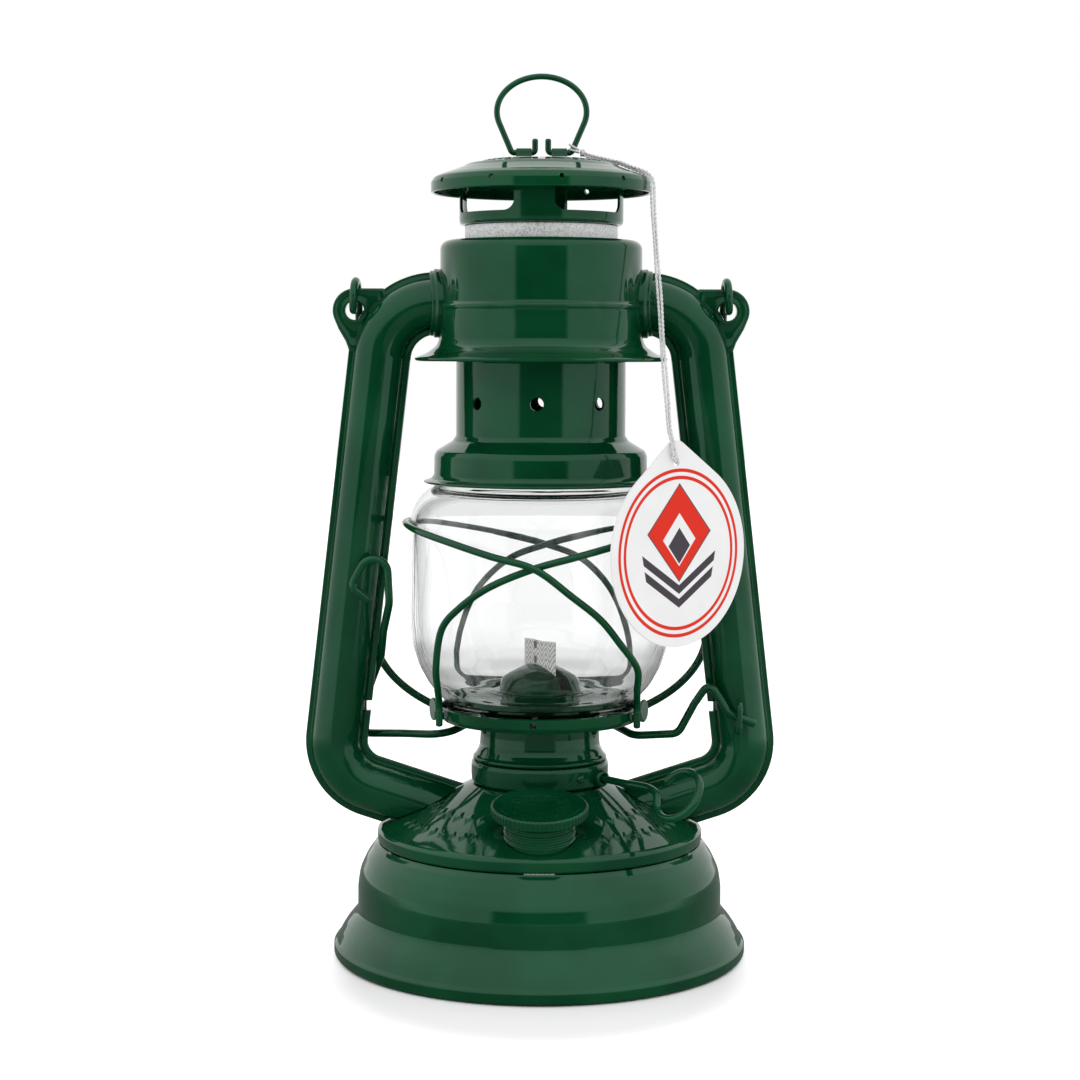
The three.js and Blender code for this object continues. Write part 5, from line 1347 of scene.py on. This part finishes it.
class LANTERN_OT_tubes(bpy.types.Operator):
    """Air tubes pressed from two halves, with ears, eyelets and arm collars"""

    bl_idname = "lantern.tubes"
    bl_label = "Air tubes"

    def execute(self, context):
        (arm, top), (low, bottom) = TUBE_CORNERS[1][:2], TUBE_CORNERS[2][:2]
        seam = arm + (top - 74) * (low - arm) / (top - bottom) + SEAM_HALF_WIDTH
        latch = box_cutter((seam - 1.3, -5, 72.5), (seam + 3, 5, 75.5))
        for front, word in ((1, "front"), (-1, "back")):
            left_shells = self.half(front), latch, self.ear(front)
            for side, half, notch, ear in zip(SIDES, *map(both_sides, left_shells)):
                enamelled(f"{side}_tube_{word}_pressing", half, "frame", f"{side}_tube_{word}",
                          cuts=[self.keep_out(), notch])
                enamelled(f"{side}_ear_{word}", ear, "frame")
        for side, eyelet in zip(SIDES, both_sides(self.eyelet())):
            enamelled(f"{side}_eyelet_rolled", eyelet, "frame", f"{side}_ear_eyelet")
        for side, collar in zip(SIDES, both_sides(self.collar())):
            enamelled(f"{side}_arm_collar_rolled", collar, "frame", f"{side}_arm_collar")
        return {"FINISHED"}

    def section(self):
        """Half of the tube's section, (depth, width): a seam flange, a small round and a half oval. The inner
        line holds as many points as the outer one, so that the wall's cut ends can be closed between them."""
        a = np.linspace(0, np.pi, 34)[1:-1]
        foot = [(SHEET, SEAM_HALF_WIDTH), (SHEET, TUBE_HALF_WIDTH + 0.75), (SHEET + 0.12, TUBE_HALF_WIDTH + 0.3)]
        arc = np.stack([SHEET + (TUBE_HALF_DEPTH - SHEET) * np.sin(a), TUBE_HALF_WIDTH * np.cos(a)], -1)
        outer = np.vstack([foot, arc, [(d, -w) for d, w in foot[::-1]]])
        low = [(0.02, SEAM_HALF_WIDTH), (0.02, TUBE_HALF_WIDTH + 0.2), (0.02, TUBE_HALF_WIDTH - 0.4)]
        hollow = np.stack([0.02 + (TUBE_HALF_DEPTH - SHEET) * np.sin(a),
                           (TUBE_HALF_WIDTH - SHEET) * np.cos(a)], -1)
        inner = np.vstack([low, hollow, [(d, -w) for d, w in low[::-1]]])
        edge = (SHEET / 2, SEAM_HALF_WIDTH + 0.15)
        return np.vstack([[edge], outer, [(edge[0], -edge[1])], [(edge[0] - 0.01, -edge[1])], inner[::-1],
                          [(edge[0] - 0.01, edge[1])]])

    def half(self, front):
        """The section carried along the tube's line, with its width square to the line, outwards at a bend."""
        path = resampled(rounded(TUBE_CORNERS, 1, 22), 1.2)
        tangent = unit(np.gradient(path, axis=0))
        points = np.stack([path[:, 0], 0 * path[:, 0], path[:, 1]], -1)
        outer = np.stack([tangent[:, 1], 0 * tangent[:, 0], -tangent[:, 0]], -1)
        depth, width = self.section().T[:, None, :, None]
        return closed_sweep(points[:, None] + outer[:, None] * width + np.array([0, -1.0, 0]) * front * depth)

    def keep_out(self):
        """The tank top with a small gap, as a cutter."""
        return solid_turned([
            (0, 30), (RIM_RADIUS + SEAT, 30), (RIM_RADIUS + SEAT, 37.9 + SEAT),
            (CONE_LOW[0] + 0.2, CONE_LOW[1] + SEAT), (SOCKET_RADIUS, CONE_TOP[1] + SEAT),
            (0, CONE_TOP[1] + SEAT)], 160)

    def ear(self, front):
        """A plate between the eyelet's hole and an outline: rings in equal shares of the distance from the hole
        to the outline along each ray, with a raised rim."""
        x, z = -EAR_X, EAR_HEIGHT
        turn = np.radians(np.linspace(90, 205, 24))
        round_end = np.stack([x + 6.6 * np.cos(turn), z + 6.6 * np.sin(turn)], -1)
        outline = np.vstack([[(-46.9, 199.4)], round_end, rounded([
            (-60.6, 187.4), (-58.4, 183.6, 4), (-57.3, 180.5), (-50, 180), (-46, 196)], 1, 8)])
        outline = resampled(np.vstack([outline, outline[:1]]), 0.25)
        a = np.linspace(0, 2 * np.pi, 180, endpoint=False)
        away = outline - [x, z]
        bearing = np.arctan2(away[:, 1], away[:, 0])
        order = np.argsort(bearing)
        reach = np.interp(a, np.concatenate([bearing[order] + whole for whole in (-2 * np.pi, 0, 2 * np.pi)]),
                          np.tile(np.linalg.norm(away, axis=1)[order], 3))
        share = np.array([0, 0.12, 0.45, 0.62, 0.72, 0.84, 0.93, 1.0])[:, None]
        lift = np.array([0.25, 0.08, 0.08, 0.12, 0.38, 0.45, 0.36, 0.1])[:, None]
        radius = EAR_HOLE + (reach - EAR_HOLE) * share
        face = np.stack([x + radius * np.cos(a), -front * (SHEET + lift + 0 * a), z + radius * np.sin(a)], -1)
        back = face[::-1].copy()
        back[..., 1] = -front * 0.03
        return skin(np.vstack([face, back]), True)

    def eyelet(self):
        """A short tube with both ends rolled outwards."""
        line = rounded([
            (2.8, -1.7), (3.0, -1.85, 0.2), (3.85, -1.75, 0.2), (3.95, -1.2, 0.2), (3.5, -1.0, 0.2),
            (3.5, 1.0, 0.2), (3.95, 1.2, 0.2), (3.85, 1.75, 0.2), (3.0, 1.85, 0.2), (2.8, 1.7)], 0.2, 4)
        return placed(solid_turned(line, 64), turn_x(math.pi / 2), (-EAR_X, 0, EAR_HEIGHT))

    def collar(self):
        """An arm collar is a ring of two lips round the tube: its section turns about the tube's axis with the
        oval radii of the tube plus a gap, and lies against the drum."""
        a = np.linspace(0, 2 * np.pi, 120, endpoint=False)
        lips = rounded([(0.6, -1.3), (2.1, -1.3, 0.3), (2.3, 0.7, 0.4), (1.5, 1.2, 0.3), (1.5, 2.0, 0.3),
                        (0.9, 2.4, 0.3), (0.5, 2.0)], 0.3, 4)
        out, along = lips.T[..., None]
        y = (TUBE_HALF_DEPTH - 0.4 + out) * np.cos(a)
        z = (TUBE_HALF_WIDTH + 1.3 + out * 0.72) * np.sin(a)
        x = np.sqrt(np.maximum((DRUM_RADIUS + SHEET) ** 2 - y**2, 1)) + along
        return skin(np.stack([-x, y, ARM_HEIGHT + z], -1), True)


class LANTERN_OT_bail(bpy.types.Operator):
    """Carrying bail, hooked through both ears"""

    bl_idname = "lantern.bail"
    bl_label = "Bail"

    def execute(self, context):
        """One side is an eye and a straight leg, the other its mirror image; half an ellipse joins them."""
        eye_height = EAR_HEIGHT + BAIL_EYE
        angle = np.linspace(math.radians(302), BAIL_LEAN, 40)[:-1]
        share = np.linspace(0, 1, 40)[:-1]
        eye = np.stack([EAR_X + 0.6 * (1 - 2 * share), BAIL_EYE * np.cos(angle),
                        eye_height + BAIL_EYE * np.sin(angle)], -1)
        start = (BAIL_EYE * math.cos(BAIL_LEAN), eye_height + BAIL_EYE * math.sin(BAIL_LEAN))

        def hanging(x, drop):
            return np.stack([x + 0 * drop, start[0] + drop * math.sin(BAIL_LEAN),
                             start[1] - drop * math.cos(BAIL_LEAN)], -1)

        top = EAR_X - 0.6
        drop = np.linspace(0, BAIL_LEG, 30)[:-1]
        side = np.vstack([eye, hanging(top + (BAIL_HALF_WIDTH - top) * drop / BAIL_LEG, drop)])
        turn = np.linspace(0, np.pi, 60)
        bottom = hanging(BAIL_HALF_WIDTH * np.cos(turn), BAIL_LEG + BAIL_ROUND * np.sin(turn))
        path = resampled(np.vstack([side, bottom, side[::-1] * [-1, 1, 1]]), 0.8)
        bent_wire("bail_wire", path, millimetres("bail_wire"), "bail", "bail")
        return {"FINISHED"}


class LANTERN_OT_lever(bpy.types.Operator):
    """Lift lever of bent wire, in its staple on the right tube"""

    bl_idname = "lantern.lever"
    bl_label = "Lift lever"

    def execute(self, context):
        path = resampled(rounded(LEVER_CORNERS, 4, 10), 0.6)
        bent_wire("lever_wire", path, millimetres("bail_wire"), "lift_lever", "lift_lever")
        x, z = LEVER_PIVOT
        seat, front = -(TUBE_HALF_DEPTH + SEAT), LEVER_FRONT - BAIL_WIRE / 2 - SEAT - STAPLE_WIRE / 2
        route = [(x, seat, z - 4.2), (x, front, z - 4.2, 1.6), (x, front, z + 4.2, 1.6), (x, seat, z + 4.2)]
        staple = resampled(rounded(route, 1.5, 8), 0.4)
        bent_wire("staple_wire", staple, STAPLE_WIRE, "frame", "lever_staple", 14)
        return {"FINISHED"}


OPERATORS = [
    LANTERN_OT_stage, LANTERN_OT_string_and_tag, LANTERN_OT_tank, LANTERN_OT_filler, LANTERN_OT_burner,
    LANTERN_OT_globe, LANTERN_OT_chimney, LANTERN_OT_hood, LANTERN_OT_tubes, LANTERN_OT_bail, LANTERN_OT_lever,
]


class LANTERN_PT_panel(bpy.types.Panel):
    """Buttons and settings of the lantern"""

    bl_label = "Lantern"
    bl_idname = "LANTERN_PT_panel"
    bl_space_type = "VIEW_3D"
    bl_region_type = "UI"
    bl_category = "Lantern"

    def draw(self, context):
        for group in (context.scene.lantern_sizes, context.scene.lantern_colours, context.scene.lantern_stage):
            for name in group.__annotations__:
                self.layout.prop(group, name)
        for operator in OPERATORS:
            self.layout.operator(operator.bl_idname)


CLASSES = [LanternSizes, LanternColours, LanternStage, *OPERATORS, LANTERN_PT_panel]


def register():
    for item in CLASSES:
        bpy.utils.register_class(item)
    bpy.types.Scene.lantern_sizes = bpy.props.PointerProperty(type=LanternSizes)
    bpy.types.Scene.lantern_colours = bpy.props.PointerProperty(type=LanternColours)
    bpy.types.Scene.lantern_stage = bpy.props.PointerProperty(type=LanternStage)


def unregister():
    del bpy.types.Scene.lantern_stage
    del bpy.types.Scene.lantern_colours
    del bpy.types.Scene.lantern_sizes
    for item in reversed(CLASSES):
        bpy.utils.unregister_class(item)


def main():
    register()
    bpy.context.scene.view_settings.view_transform = "Standard"
    for operator in OPERATORS:
        group, name = operator.bl_idname.split(".")
        getattr(getattr(bpy.ops, group), name)()


if __name__ == "__main__":
    main()
